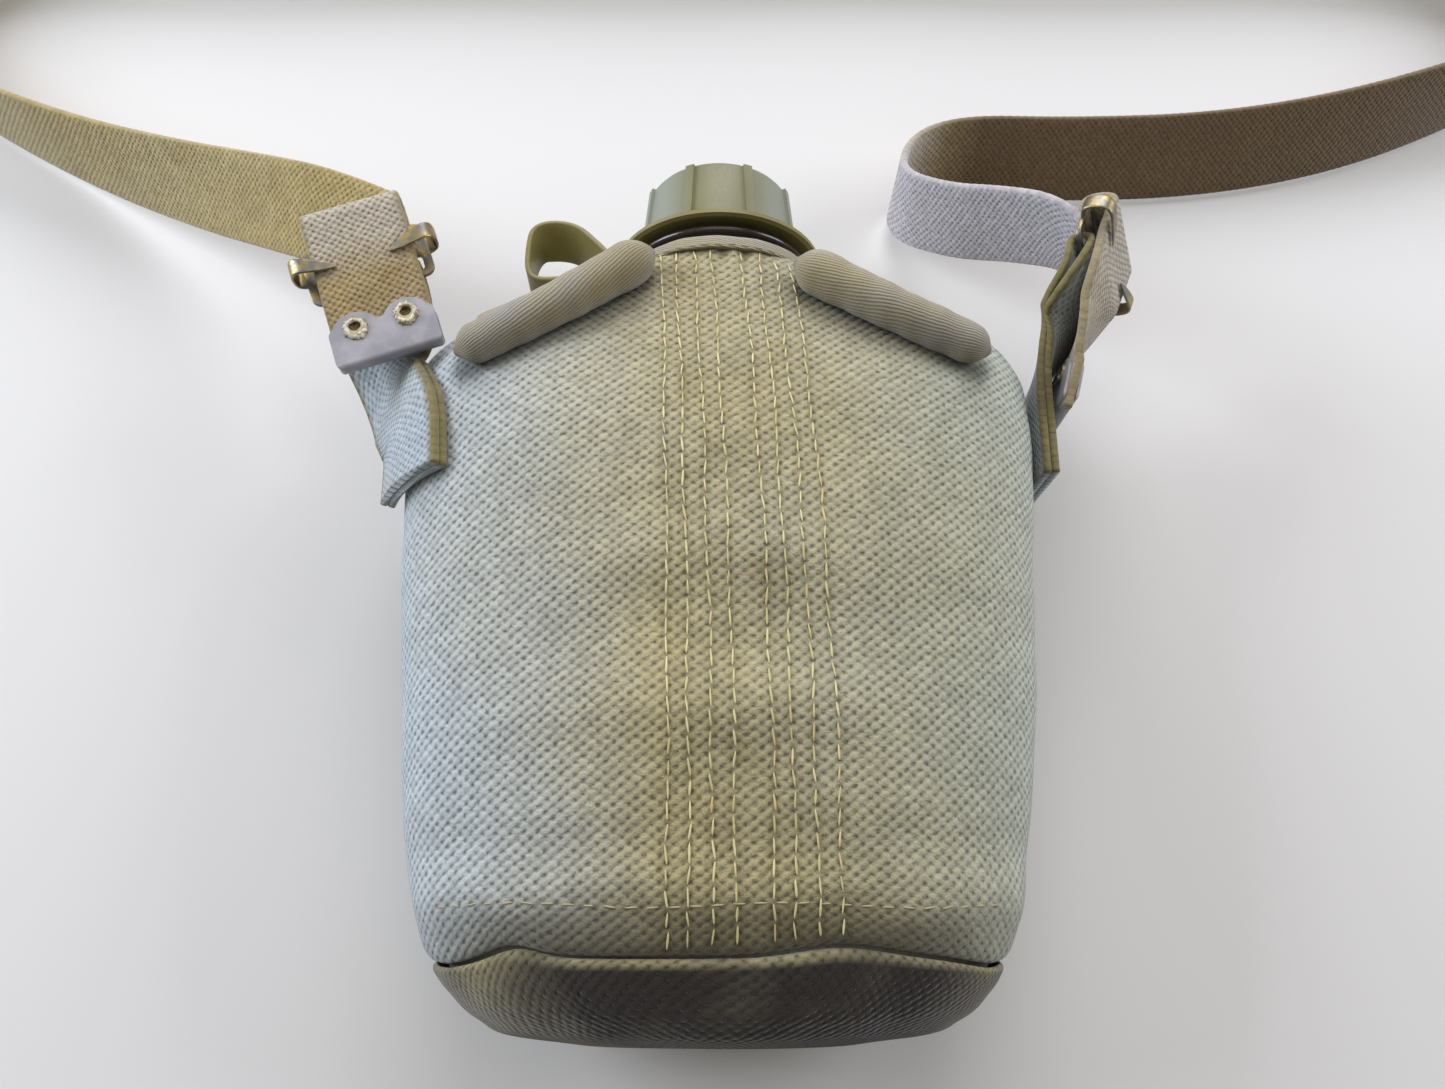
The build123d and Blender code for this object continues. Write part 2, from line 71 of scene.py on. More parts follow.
def linear(hexa):
    """The linear colour of an sRGB hex value."""
    values = [int(hexa[i:i + 2], 16) / 255 for i in (1, 3, 5)]
    return [v / 12.92 if v <= 0.04045 else ((v + 0.055) / 1.055) ** 2.4 for v in values] + [1.0]


def add(tree, kind, inputs=None, **settings):
    """Adds one node with its settings and its linked or fixed inputs, and returns it."""
    made = tree.nodes.new(kind)
    for name, value in settings.items():
        setattr(made, name, value)
    for socket, value in (inputs or {}).items():
        if isinstance(value, bpy.types.NodeSocket):
            tree.links.new(value, made.inputs[socket])
        else:
            made.inputs[socket].default_value = value
    return made


def new_material(name, roughness, specular=0.5):
    """A node material with a Principled shader on its output."""
    material = bpy.data.materials.new(name)
    material.use_nodes = True
    tree = material.node_tree
    tree.nodes.clear()
    shader = add(tree, "ShaderNodeBsdfPrincipled", {"Roughness": roughness, "Specular IOR Level": specular})
    add(tree, "ShaderNodeOutputMaterial", {"Surface": shader.outputs["BSDF"]})
    return material, tree, shader


def window(name, place, aim, size, power, hexa):
    """A soft square lamp."""
    lamp = bpy.data.lights.new(name, "AREA")
    lamp.size = size
    lamp.energy = power
    lamp.color = linear(hexa)[:3]
    lamp_object = linked(name, lamp)
    lamp_object.location = place
    lamp_object.rotation_euler = (Vector(aim) - Vector(place)).to_track_quat("-Z", "Y").to_euler()


window("window_left", (-1.0, 0.35, 0.55), (0, 0, 0.03), 0.6, 15.0, "#E4ECFC")
window("window_right", (1.05, 0.35, 0.6), (0, 0, 0.03), 0.6, 9.5, "#ECF0FC")
window("window_beyond", (0.1, 1.2, 0.75), (0, 0.05, 0.03), 0.8, 16.0, "#F2F3FF")
window("ceiling", (0.0, 0.1, 1.3), (0, 0.05, 0), 1.0, 4.0, "#FFF6E8")
world = bpy.data.worlds.new("room")
world.use_nodes = True
world.node_tree.nodes["Background"].inputs["Color"].default_value = linear("#DDE2EA")
world.node_tree.nodes["Background"].inputs["Strength"].default_value = 0.22
studio.world = world

floor_material, _, floor_shader = new_material("pale_painted_floor", 0.85, 0.3)
floor_shader.inputs["Base Color"].default_value = linear("#CCC9C3")
floor_mesh = bpy.data.meshes.new("floor")
FLOOR_HALF = 3.0
FLOOR_Z = -0.0003
floor_corners = [(x * FLOOR_HALF, y * FLOOR_HALF, FLOOR_Z) for x, y in ((-1, -1), (1, -1), (1, 1), (-1, 1))]
floor_mesh.from_pydata(floor_corners, [], [(0, 1, 2, 3)])
floor_mesh.materials.append(floor_material)
floor = linked("floor", floor_mesh)

# ---- Shoulder sling ----
# One length of coarse cotton webbing, woven solid, khaki and faded, with thick selvages. It
# leaves the left buckle, lies in a long loop beyond the canteen and comes back to the right.
WEB_WIDTH = 0.027
WEB_THICK = 0.0024
# Millimetres: the strap's middle, then the direction across it.
SLING_ROUTE = (
    ((-96, 106.5, 51.5), (0.45, 0.80, 0.40)),
    ((-112, 116, 48), (0.42, 0.70, 0.58)),
    ((-134, 128, 38), (0.35, 0.62, 0.70)),
    ((-165, 144, 24.5), (0.25, 0.50, 0.83)),
    ((-203, 162, 15.5), (0.15, 0.30, 0.94)),
    ((-240, 180, 14.2), (0.05, 0.10, 0.99)),
    ((-272, 200, 14.2), (0, 0, 1)),
    ((-290, 228, 14.2), (0, 0, 1)),
    ((-272, 254, 14.2), (0, 0, 1)),
    ((-224, 261, 14.2), (0, 0, 1)),
    ((-160, 257, 14.2), (0, 0, 1)),
    ((-92, 262, 14.2), (0, 0, 1)),
    ((-20, 258, 14.2), (0, 0, 1)),
    ((52, 263, 14.2), (0, 0, 1)),
    ((122, 258, 14.2), (0, 0, 1)),
    ((190, 262, 14.2), (0, 0, 1)),
    ((250, 258, 14.2), (0, 0, 1)),
    ((288, 240, 14.2), (0, 0, 1)),
    ((286, 208, 14.2), (0, 0.10, 0.99)),
    ((250, 190, 13.6), (0, 0.35, 0.94)),
    ((206, 174, 12.5), (0, 0.55, 0.84)),
    ((160, 165, 12.2), (0, 0.60, 0.80)),
    ((112, 163, 12.4), (0.05, 0.60, 0.80)),
    ((76, 164, 13.5), (0.10, 0.45, 0.89)),
    ((58, 156, 15), (0.10, 0.25, 0.96)),
    ((56, 141, 19), (0, 0.20, 0.97)),
    ((70, 129, 27), (-0.10, 0.25, 0.96)),
    ((86, 120, 38), (-0.30, 0.30, 0.90)),
    ((97.5, 111, 47), (-0.40, 0.33, 0.855)),
    ((101.6, 105.2, 47.0), (-0.40, 0.33, 0.855)),
)


def made_mesh(holder):
    """The mesh that an object's curve or modifiers make. The object itself is removed."""
    mesh = bpy.data.meshes.new_from_object(holder.evaluated_get(bpy.context.evaluated_depsgraph_get()))
    bpy.data.objects.remove(holder)
    return mesh


def spline_points(controls, steps):
    """Points along a smooth spline that has these control points."""
    data = bpy.data.curves.new("route", "CURVE")
    data.dimensions = "3D"
    data.resolution_u = steps
    line = data.splines.new("NURBS")
    line.points.add(len(controls) - 1)
    for point, control in zip(line.points, controls):
        point.co = (*control, 1.0)
    line.order_u = 3
    line.use_endpoint_u = True
    mesh = made_mesh(linked("route", data))
    points = np.array([v.co[:] for v in mesh.vertices])
    bpy.data.curves.remove(data)
    bpy.data.meshes.remove(mesh)
    return points


def unit(vectors):
    """Vectors at length one."""
    return vectors / np.maximum(np.linalg.norm(vectors, axis=-1, keepdims=True), 1e-12)


def arc_length(points):
    """Distance along a line of points from its first."""
    return np.concatenate([[0], np.cumsum(np.linalg.norm(np.diff(points, axis=0), axis=1))])


def coordinates(mesh):
    """A mesh's points in millimetres."""
    where = np.empty(len(mesh.vertices) * 3)
    mesh.vertices.foreach_get("co", where)
    return where.reshape(-1, 3) / MM


def corner_vertices(mesh):
    """The vertex at each corner of each face."""
    found = np.empty(len(mesh.loops), int)
    mesh.loops.foreach_get("vertex_index", found)
    return found


def joined(name, parts):
    """One mesh from several, with doubled points merged."""
    work = bmesh.new()
    for part in parts:
        work.from_mesh(part)
    bmesh.ops.remove_doubles(work, verts=work.verts, dist=MERGE)
    mesh = bpy.data.meshes.new(name)
    work.to_mesh(mesh)
    work.free()
    return mesh


def mesh_from_grid(name, points, uv, loop=False, ends=False):
    """A mesh from rows of points in metres, with its cloth coordinates as a UV map."""
    rows, columns = points.shape[:2]
    spans = np.arange(rows - 1), np.arange(columns if loop else columns - 1)
    row, column = (index.ravel() for index in np.meshgrid(*spans, indexing="ij"))
    after = (column + 1) % columns
    quads = np.stack([row * columns + column, row * columns + after,
                      (row + 1) * columns + after, (row + 1) * columns + column], axis=1).tolist()
    if ends:
        quads.append(list(range(columns))[::-1])
        quads.append([(rows - 1) * columns + i for i in range(columns)])
    mesh = bpy.data.meshes.new(name)
    mesh.from_pydata(points.reshape(-1, 3).tolist(), [], quads)
    layer = mesh.uv_layers.new(name="cloth")
    layer.data.foreach_set("uv", np.asarray(uv, float).reshape(-1, 2)[corner_vertices(mesh)].ravel())
    work = bmesh.new()
    work.from_mesh(mesh)
    bmesh.ops.remove_doubles(work, verts=work.verts, dist=MERGE)
    bmesh.ops.recalc_face_normals(work, faces=work.faces)
    work.to_mesh(mesh)
    work.free()
    mesh.shade_smooth()
    return mesh


def link_piece(name, mesh, material, body):
    """Puts a finished mesh in the scene as a piece that rides on a body."""
    mesh.materials.clear()
    mesh.materials.append(material)
    piece = linked(name, mesh)
    if body:
        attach(piece, body)
    return piece


STRIP_STEP = 0.0008
SCALLOP_PITCH = 0.0026  # one step of the weft along a selvage


def spread_over(share, values):
    """Values spread evenly over a length, at shares of it. A single value holds all the way."""
    values = np.atleast_1d(values)
    return np.interp(share, np.linspace(0, 1, len(values)), values)


def strip_mesh(name, stations, steps, width, thick, roundness=0.35, scallop=0.0, bow=0.0):
    """A flat strip along a smooth line. A station is a centre in millimetres and a direction across."""
    line = spline_points([[c * MM for c in centre] for centre, _ in stations], steps)
    across = unit(spline_points([way for _, way in stations], steps))
    run = arc_length(line)
    count = max(int(run[-1] / STRIP_STEP), 8)
    place = np.linspace(0, run[-1], count)
    middle, across = (np.stack([np.interp(place, run, rows[:, i]) for i in range(3)], axis=1)
                      for rows in (line, across))
    travel = unit(np.gradient(middle, axis=0))
    across = unit(across - travel * (across * travel).sum(axis=1, keepdims=True))
    normal = np.cross(across, travel)
    share = np.linspace(0, 1, count)
    half = spread_over(share, width) / 2 + scallop * np.sin(place * 2 * np.pi / SCALLOP_PITCH)
    deep = spread_over(share, thick) / 2
    edge = np.minimum(roundness * 2 * deep, half)
    flat = np.linspace(-1, 1, 9)
    turn = np.radians([-60, -25, 25, 60])
    profile = [(u, 0.0, 0.0, 1.0) for u in flat]
    profile += [(1.0, math.cos(a), 0.0, -math.sin(a)) for a in turn]
    profile += [(u, 0.0, 0.0, -1.0) for u in -flat]
    profile += [(-1.0, -math.cos(a), 0.0, math.sin(a)) for a in turn]
    profile = np.array(profile)
    side = (half - edge)[:, None] * profile[None, :, 0] + edge[:, None] * profile[None, :, 1]
    bend = spread_over(share, bow)
    rise = deep[:, None] * profile[None, :, 3] - bend[:, None] * (side / half[:, None]) ** 2
    grid = middle[:, None] + across[:, None] * side[..., None] + normal[:, None] * rise[..., None]
    uv = np.stack([side, np.repeat(place[:, None], len(profile), axis=1)], axis=-1)
    return mesh_from_grid(name, grid, uv, loop=True, ends=True), middle


def woven(name, knot_mm, hexes, bump_mm, speckle, paint=None, groove_and_roll_shade=None, selvage=None, slant=0.0):
    """Coarse plain weave: raised oval knots in a centred lattice, thin dark gaps, uneven yarn and stains.

    Dry cotton has almost no gloss, a soft sheen at grazing angles, and shows its yarn."""
    material, tree, shader = new_material(name, 0.95, 0.15)

    def calc(operation, *values):
        return add(tree, "ShaderNodeMath", dict(enumerate(values)), operation=operation).outputs[0]

    def ramp(value, low, high, to_low=0.0, to_high=1.0):
        return add(tree, "ShaderNodeMapRange", {0: value, 1: low, 2: high, 3: to_low, 4: to_high}).outputs[0]

    def mixed(share, first, second, blend="MIX"):
        return add(tree, "ShaderNodeMix", {0: share, 6: first, 7: second},
                   data_type="RGBA", blend_type=blend).outputs[2]

    def noise(scale, detail, roughness=0.5):
        return add(tree, "ShaderNodeTexNoise",
                   {"Vector": cloth, "Scale": scale, "Detail": detail, "Roughness": roughness})

    cloth = add(tree, "ShaderNodeUVMap", uv_map="cloth").outputs["UV"]
    drift = add(tree, "ShaderNodeVectorMath", {0: noise(160.0, 2.0).outputs["Color"], 1: (0.5, 0.5, 0.5)},
                operation="SUBTRACT").outputs[0]
    drift = add(tree, "ShaderNodeVectorMath", {0: drift, "Scale": 0.0009}, operation="SCALE").outputs[0]
    wavy = add(tree, "ShaderNodeVectorMath", {0: cloth, 1: drift}, operation="ADD").outputs[0]
    axes = add(tree, "ShaderNodeSeparateXYZ", {0: wavy})
    turns = [calc("MULTIPLY", axes.outputs[i], 1 / (knot_mm[i] * MM)) for i in (0, 1)]
    turned = [calc("MULTIPLY", t, 2 * math.pi) for t in turns]
    lattice = calc("MULTIPLY", calc("COSINE", turned[0]), calc("COSINE", turned[1]))
    leaning = calc("MULTIPLY", calc("SINE", turned[0]), calc("SINE", turned[1]))
    lattice = calc("MULTIPLY_ADD", leaning, slant, lattice)
    uneven = noise(900.0, 2.0, 0.6).outputs["Fac"]
    lattice = calc("MULTIPLY_ADD", calc("SUBTRACT", uneven, 0.47), 2.4, lattice)
    lattice = ramp(lattice, -1.0, 1.0)
    knots = calc("POWER", lattice, 0.5)
    cell = add(tree, "ShaderNodeCombineXYZ", {
        0: calc("ROUND", calc("ADD", *turns)), 1: calc("ROUND", calc("SUBTRACT", *turns))})
    chance = add(tree, "ShaderNodeTexWhiteNoise", {"Vector": cell.outputs[0]},
                 noise_dimensions="2D").outputs[0]
    fibre = noise(2600.0, 3.0, 0.6).outputs["Fac"]
    stain = noise(34.0, 4.0, 0.62).outputs["Fac"]
    if selvage:
        tight = ramp(calc("ABSOLUTE", axes.outputs[0]), selvage - 0.0014, selvage, 0.0, 0.8)
        open_part = calc("MULTIPLY", knots, calc("SUBTRACT", 1.0, tight))
        knots = calc("ADD", open_part, calc("MULTIPLY", tight, 0.75))

    height = calc("MULTIPLY_ADD", chance, 0.3, knots)
    height = calc("MULTIPLY_ADD", fibre, 0.4, height)
    shade = calc("MULTIPLY", ramp(knots, 0.12, 0.8, 0.5, 1.1), ramp(fibre, 0.25, 0.75, 0.8, 1.18))
    shade = calc("MULTIPLY", shade, ramp(chance, 0.0, 1.0, 1.0 - speckle, 1.0 + speckle))
    if groove_and_roll_shade:
        depth = add(tree, "ShaderNodeAttribute", attribute_name=groove_and_roll_shade).outputs["Fac"]
        # Painted shade in the grooves along the stitch rows, values from nought to one.
        shade = calc("MULTIPLY", shade, ramp(depth, 0.0, 1.0, 1.0, 0.85))
        # Painted shadow under the flaps' rolls, values from one to two.
        shade = calc("MULTIPLY", shade, ramp(depth, 1.0, 2.0, 1.0, 0.42))
        height = calc("MULTIPLY_ADD", calc("MINIMUM", depth, 1.0), -0.8, height)
    bump = add(tree, "ShaderNodeBump", {"Height": height, "Distance": bump_mm * MM, "Strength": 1.0})
    tree.links.new(bump.outputs[0], shader.inputs["Normal"])

    colour = mixed(ramp(noise(17.0, 2.0).outputs["Fac"], 0.4, 0.6), linear(hexes[0]), linear(hexes[1]))
    colour = mixed(ramp(stain, 0.47, 0.68, 0.0, 0.75), colour, linear(hexes[2]))
    colour = mixed(ramp(noise(90.0, 3.0).outputs["Fac"], 0.55, 0.75, 0.0, 0.5), colour, linear(hexes[3]))
    if paint:
        place = add(tree, "ShaderNodeSeparateXYZ", {0: cloth}).outputs
        colour = paint(colour, place[0], place[1], calc, ramp, mixed, noise)
    grey = add(tree, "ShaderNodeCombineXYZ", {0: shade, 1: shade, 2: shade}).outputs[0]
    tree.links.new(mixed(1.0, colour, grey, "MULTIPLY"), shader.inputs["Base Color"])
    shader.inputs["Sheen Weight"].default_value = 0.3
    shader.inputs["Sheen Roughness"].default_value = 0.45
    return material


def sling_paint(colour, u, v, calc, ramp, mixed, noise):
    """Painted shade in dark brown where the strap runs back from the right buckle, and a pale painted
    highlight on the stretch beside it.
    """
    uneven = calc("MULTIPLY_ADD", noise(40.0, 2.0).outputs["Fac"], 0.02, v)
    # Painted shade: the far stretch's face is turned from the light.
    far_limb_painted_shade = calc("MULTIPLY", ramp(uneven, 0.80, 0.88), ramp(uneven, 1.075, 1.105, 1.0, 0.0))
    colour = mixed(calc("MULTIPLY", far_limb_painted_shade, 0.92), colour, linear("#5B4732"))
    # Painted highlight: the stretch beside the right buckle faces the window.
    colour = mixed(ramp(uneven, 1.085, 1.115), colour, linear("#B4B0B4"))
    return mixed(ramp(calc("ABSOLUTE", u), 0.0125, 0.0135, 0.0, 0.35), colour, linear("#6E6140"))


WEB_KNOT = (2.3, 2.0)  # millimetres across and along
WEB_SELVAGE = 0.0133
webbing = woven("cotton_webbing", WEB_KNOT, ("#A08E5A", "#A5966A", "#917C46", "#B2A276"), 0.35, 0.1,
                sling_paint, selvage=WEB_SELVAGE)
sling_mesh, sling_line = strip_mesh("sling", SLING_ROUTE, 14, WEB_WIDTH, WEB_THICK, scallop=0.00006)
sling = link_piece("shoulder_sling", sling_mesh, webbing, "root")
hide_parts("sling_left", "sling_loop", "sling_right")

# ---- Canvas cover ----
# Coarse cotton duck, grey at its flanks, partly faded and partly painted window sheen, and still warm in the
# middle. A front, a back and a foot panel are sewn edge to edge and turned, so each rolls in at its seams.
AXIS_Z = 38.0
COLLAR_Y = 96.6
SEAM_Y = -81.0
CANVAS_THICK = 0.0022
# Millimetres: place along Y, half width, top, lowest point of the uncut oval, squareness.
COVER_SECTIONS = np.array([
    (-99.4, 36.0, 54.0, 20.0, 2.2),
    (-98.0, 46.0, 59.5, 13.0, 2.2),
    (-94.5, 55.0, 64.5, 6.0, 2.3),
    (-88.5, 62.0, 68.0, 0.5, 2.4),
    (-81.0, 66.6, 70.5, -4.0, 2.4),
    (-69.0, 71.2, 75.0, -6.0, 2.3),
    (-45.0, 76.0, 78.5, -6.0, 2.25),
    (-8.0, 80.0, 80.0, -6.0, 2.2),
    (30.0, 83.2, 79.0, -6.0, 2.2),
    (52.0, 84.0, 75.5, -5.0, 2.25),
    (66.0, 82.5, 72.0, -2.5, 2.3),
    (75.0, 75.5, 69.5, 1.5, 2.3),
    (83.0, 60.0, 67.5, 5.0, 2.2),
    (90.0, 42.0, 66.0, 8.5, 2.1),
    (95.0, 31.5, 65.2, 10.5, 2.0),
    (99.0, 27.0, 65.0, 11.0, 2.0),
])


def smooth_rows(table, at):
    """The table's other columns at values of its first, on a smooth curve through its rows."""
    place = table[:, 0]
    slope = np.gradient(table, place, axis=0)
    low = np.clip(np.searchsorted(place, at, side="right") - 1, 0, len(place) - 2)
    step = (place[low + 1] - place[low])[:, None]
    t = ((at - place[low]) / (place[low + 1] - place[low]))[:, None]
    from_start = (1 + 2 * t) * (1 - t) ** 2 * table[low] + t * (1 - t) ** 2 * step * slope[low]
    return from_start + t * t * (3 - 2 * t) * table[low + 1] - t * t * (1 - t) * step * slope[low + 1]


def cover_point(y, angle):
    """Points of the cover's outside, in millimetres, at places along Y and angles round the neck axis."""
    y, angle = np.broadcast_arrays(np.asarray(y, float), np.asarray(angle, float))
    rows = smooth_rows(COVER_SECTIONS, y.ravel())
    _, half, top, low, power = np.moveaxis(rows.reshape(y.shape + (5,)), -1, 0)
    across = np.sign(np.cos(angle)) * np.abs(np.cos(angle)) ** (2 / power)
    rise = np.abs(np.sin(angle)) ** (2 / power)
    height = AXIS_Z + np.where(np.sin(angle) >= 0, top - AXIS_Z, low - AXIS_Z) * rise
    return np.stack([half * across, y, np.maximum(height, 0.0)], axis=-1)


def hump(value, centre, width):
    """A smooth hump of height one."""
    return np.exp(-((value - centre) / width) ** 2)


def grid_normal(points):
    """Unit normals of a grid of points, away from the neck axis."""
    normal = unit(np.cross(np.gradient(points, axis=0), np.gradient(points, axis=1)))
    outward = (points - np.array([0.0, 0.0, AXIS_Z])) * np.array([1.0, 0.0, 1.0])
    flip = np.sign((normal * outward).sum(axis=-1, keepdims=True))
    return normal * np.where(flip == 0, 1, flip)


def seam_y(x):
    """The line of the seam at the foot, which wanders where the canvas gathers."""
    return SEAM_Y + 2.1 * hump(x, -44, 7) + 2.2 * hump(x, 27, 13) - 2.6 * hump(np.abs(x), 66, 14)


# Soft folds across the front, in millimetres: height, place along Y, half length.
FRONT_FOLDS = ((1.5, 5, 8), (1.7, -30, 8), (-0.6, -13, 8))


def swelling(points):
    """How far the filled canvas swells or sinks, in millimetres."""
    x, y, z = np.moveaxis(points, -1, 0)
    up = np.clip((z - 30) / 25, 0, 1)
    wide = hump(x, 4, 38)
    lift = sum(height * wide * hump(y, place, reach) for height, place, reach in FRONT_FOLDS)
    lift += 0.9 * hump(y, -70, 5) * (0.6 + 0.4 * np.sin(x / 9.0 + 1.0)) - 0.5 * hump(y, -58, 5)
    lift += 1.1 * hump(x, -44, 9) * hump(y, -72, 5) + 1.2 * hump(x, 44, 12) * hump(y, -73, 5)
    lift += 0.9 * np.cos((x - 4) * 1.05) * hump(x, 4, 7) * hump(y, 99, 14)
    lift *= up
    lift += 0.45 * np.sin(x / 12.0 + y / 21.0 + 0.7) * np.sin(y / 16.0 - x / 33.0)
    lift += 0.22 * np.sin(x / 5.3 - y / 8.7 + z / 7.0) * np.sin(y / 6.3 + x / 12.0 + 2.0)
    return lift * np.clip(z / 10, 0, 1)


# Where the flaps' rolled edges lie on the shoulder, with a painted shadow beneath them.
LEFT_ROLL = ((-21.5, 85.6, 71.2), (-39.6, 72.9, 72.8), (-64.8, 61.6, 68.2))
RIGHT_ROLL = ((24.5, 82.4, 71.8), (42.8, 71.4, 72.9), (67.1, 62.2, 67.4))
STITCH_FOOT_X = (-10.4, -5.9, -1.0, 3.8, 12.0, 16.2, 21.0, 26.0)
STITCH_NECK_X = (-15.2, -11.6, -6.8, -2.4, 5.4, 10.0, 14.0, 18.0)


def row_x(number, y):
    """The place across of one of the eight rows of stitches down the front."""
    t = (y - SEAM_Y) / (COLLAR_Y - SEAM_Y)
    foot_x, neck_x = STITCH_FOOT_X[number], STITCH_NECK_X[number]
    return foot_x + (neck_x - foot_x) * t * t + 0.3 * np.sin(y / 8.0 + number * 1.7)


def edge_roll(distance, reach, depth):
    """How far a turned edge rolls in, in millimetres, at a distance from its seam."""
    t = 1 - np.clip(distance / reach, 0, 1)
    return depth * (1 - np.sqrt(np.maximum(1 - t * t, 0)))


def front_paint(colour, u, v, calc, ramp, mixed, noise):
    """The middle keeps its dye; the blue-grey flanks are partly faded and partly painted window sheen, bluer
    on the left; the lower edge has painted shade.
    """
    uneven = calc("MULTIPLY_ADD", noise(15.0, 3.0).outputs["Fac"], 0.05, calc("ABSOLUTE", u))
    # Partly fading and partly painted sheen: the flanks blue-grey, the left one bluer where the stronger
    # window falls.
    side_sheen_colour = mixed(ramp(u, -0.03, 0.03), linear("#A7B1B6"), linear("#A0A699"))
    colour = mixed(ramp(uneven, 0.035, 0.115, 0.0, 0.95), colour, side_sheen_colour)
    # Painted shade: darker towards the seam at the foot, where the panel turns away from the light, most in
    # the middle.
    low = calc("MULTIPLY", ramp(v, 0.004, 0.018, 1.0, 0.0), ramp(calc("ABSOLUTE", u), 0.035, 0.065, 0.8, 0.3))
    return mixed(low, colour, linear("#4E4734"))


def foot_paint(colour, u, v, calc, ramp, mixed, noise):
    """Painted shade lies thick on the foot, which faces away from the light, but less on the strip under its
    seam and at its left corner, where light falls.
    """
    # Less painted shade at the left corner, which the stronger left window lights.
    side = calc("ADD", u, 0.109)
    corner = calc("MULTIPLY", ramp(side, 0.03, 0.058, 1.0, 0.3), ramp(side, -0.085, -0.05, 0.6, 1.0))
    # No painted shade on the strip just under the seam, whose bulge catches the light.
    foot_painted_shade = calc("MULTIPLY", ramp(v, 0.0012, 0.0032), corner)
    foot_painted_shade = calc("MULTIPLY", foot_painted_shade, ramp(noise(30.0, 3.0).outputs["Fac"], 0.25, 0.5, 0.75, 1.0))
    return mixed(foot_painted_shade, colour, linear("#2C2620"))


DUCK_KNOT = (3.3, 2.6)
duck = woven("cotton_duck", DUCK_KNOT, ("#9A8F69", "#9A9275", "#837852", "#A89F7D"), 0.5, 0.1, front_paint,
             "stitch_groove_and_roll_shadow", slant=0.2)
foot_duck = woven("foot_duck_painted_shade", DUCK_KNOT, ("#8F8560", "#857D60", "#5C5540", "#7B7455"), 0.45, 0.1,
                  foot_paint, slant=0.2)

FRONT_COLUMNS = 190
PANEL_WIDTH = 230.0      # of one side panel at its widest, roughly
FOOT_HALF_GIRTH = 218.0
# Rows of points close together where a turned edge rolls in, in millimetres from its seam.
edge_steps = np.array([0.0, 0.15, 0.4, 0.8, 1.3, 1.9, 2.6, 3.4])


def thick_cloth(name, mesh, material):
    """Gives a sheet of canvas its thickness on the inside, and makes it a piece."""
    sheet = linked(name + "_sheet", mesh)
    shell = sheet.modifiers.new("shell", "SOLIDIFY")
    shell.thickness = CANVAS_THICK
    shell.offset = -1.0
    made = made_mesh(sheet)
    made.name = name
    return link_piece(name, made, material, "root")


def side_panel(name, first_angle, last_angle):
    """The front or the back of the cover, from the seam at the foot to the neck."""
    y = np.concatenate([SEAM_Y + edge_steps, np.linspace(SEAM_Y + 4.4, COLLAR_Y, 176)])
    t = np.linspace(0, 1, FRONT_COLUMNS)
    edge = edge_steps / PANEL_WIDTH
    t = np.unique(np.concatenate([edge, t[3:-3], 1 - edge]))
    angle = first_angle + (last_angle - first_angle) * t
    y, angle = np.meshgrid(y, angle, indexing="ij")
    points = cover_point(y, angle)
    shift = (seam_y(points[..., 0]) - SEAM_Y) * np.clip(1 - (y - SEAM_Y) / 22, 0, 1) ** 2
    points[..., 1] += shift * np.clip((points[..., 2] - 30) / 25, 0, 1)
    normal = grid_normal(points)
    sides = np.linalg.norm(np.diff(points, axis=1), axis=-1)
    run = np.concatenate([np.zeros((len(points), 1)), np.cumsum(sides, axis=1)], axis=1)
    from_side = np.minimum(run, run[:, [-1]] - run)
    inward = np.maximum(edge_roll(y - SEAM_Y, 3.2, 2.2), edge_roll(from_side, 2.2, 1.4))
    points = points + normal * (swelling(points) - inward)[..., None]
    points[..., 2] = np.maximum(points[..., 2], 0.0)
    middle = run.shape[1] // 2
    along = np.concatenate([[0], np.cumsum(np.linalg.norm(np.diff(points[:, middle], axis=0), axis=-1))])
    uv = np.stack([run - run[:, [middle]], np.repeat(along[:, None], run.shape[1], axis=1)], axis=-1)
    mesh = mesh_from_grid(name, points * MM, uv * MM)
    where = coordinates(mesh)
    groove_and_roll_shade = np.zeros(len(where))
    # Grooves along the stitch rows, dented and a little darkened as painted shade.
    for number in range(len(STITCH_FOOT_X)):
        groove_and_roll_shade = np.maximum(groove_and_roll_shade, hump(where[:, 0], row_x(number, where[:, 1]), 1.0))
    groove_and_roll_shade *= np.clip((where[:, 2] - 55) / 5, 0, 1)
    # A painted shadow on the canvas under each flap's roll, values from one to two.
    for roll in (LEFT_ROLL, RIGHT_ROLL):
        line = spline_points([[c * MM for c in point] for point in roll], 40) / MM
        gap = np.linalg.norm(where[:, None] - line[None], axis=-1).min(axis=1)
        groove_and_roll_shade = np.maximum(groove_and_roll_shade, 2.0 * np.clip((10.5 - gap) / 4.0, 0, 1))
    mesh.attributes.new("stitch_groove_and_roll_shadow", "FLOAT", "POINT").data.foreach_set("value", groove_and_roll_shade)
    return mesh, points, run, along


front_mesh, front_points, front_run, front_along = side_panel("cover_front_panel", math.pi, 0.0)
back_mesh, _, back_run, back_along = side_panel("cover_back_panel", math.pi, 2 * math.pi)
for name, mesh, run, along, node in (
    ("cover_front_panel", front_mesh, front_run, front_along, "cover_front"),
    ("cover_back_panel", back_mesh, back_run, back_along, "cover_back"),
):
    piece = thick_cloth(name, mesh, duck)
    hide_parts(node)

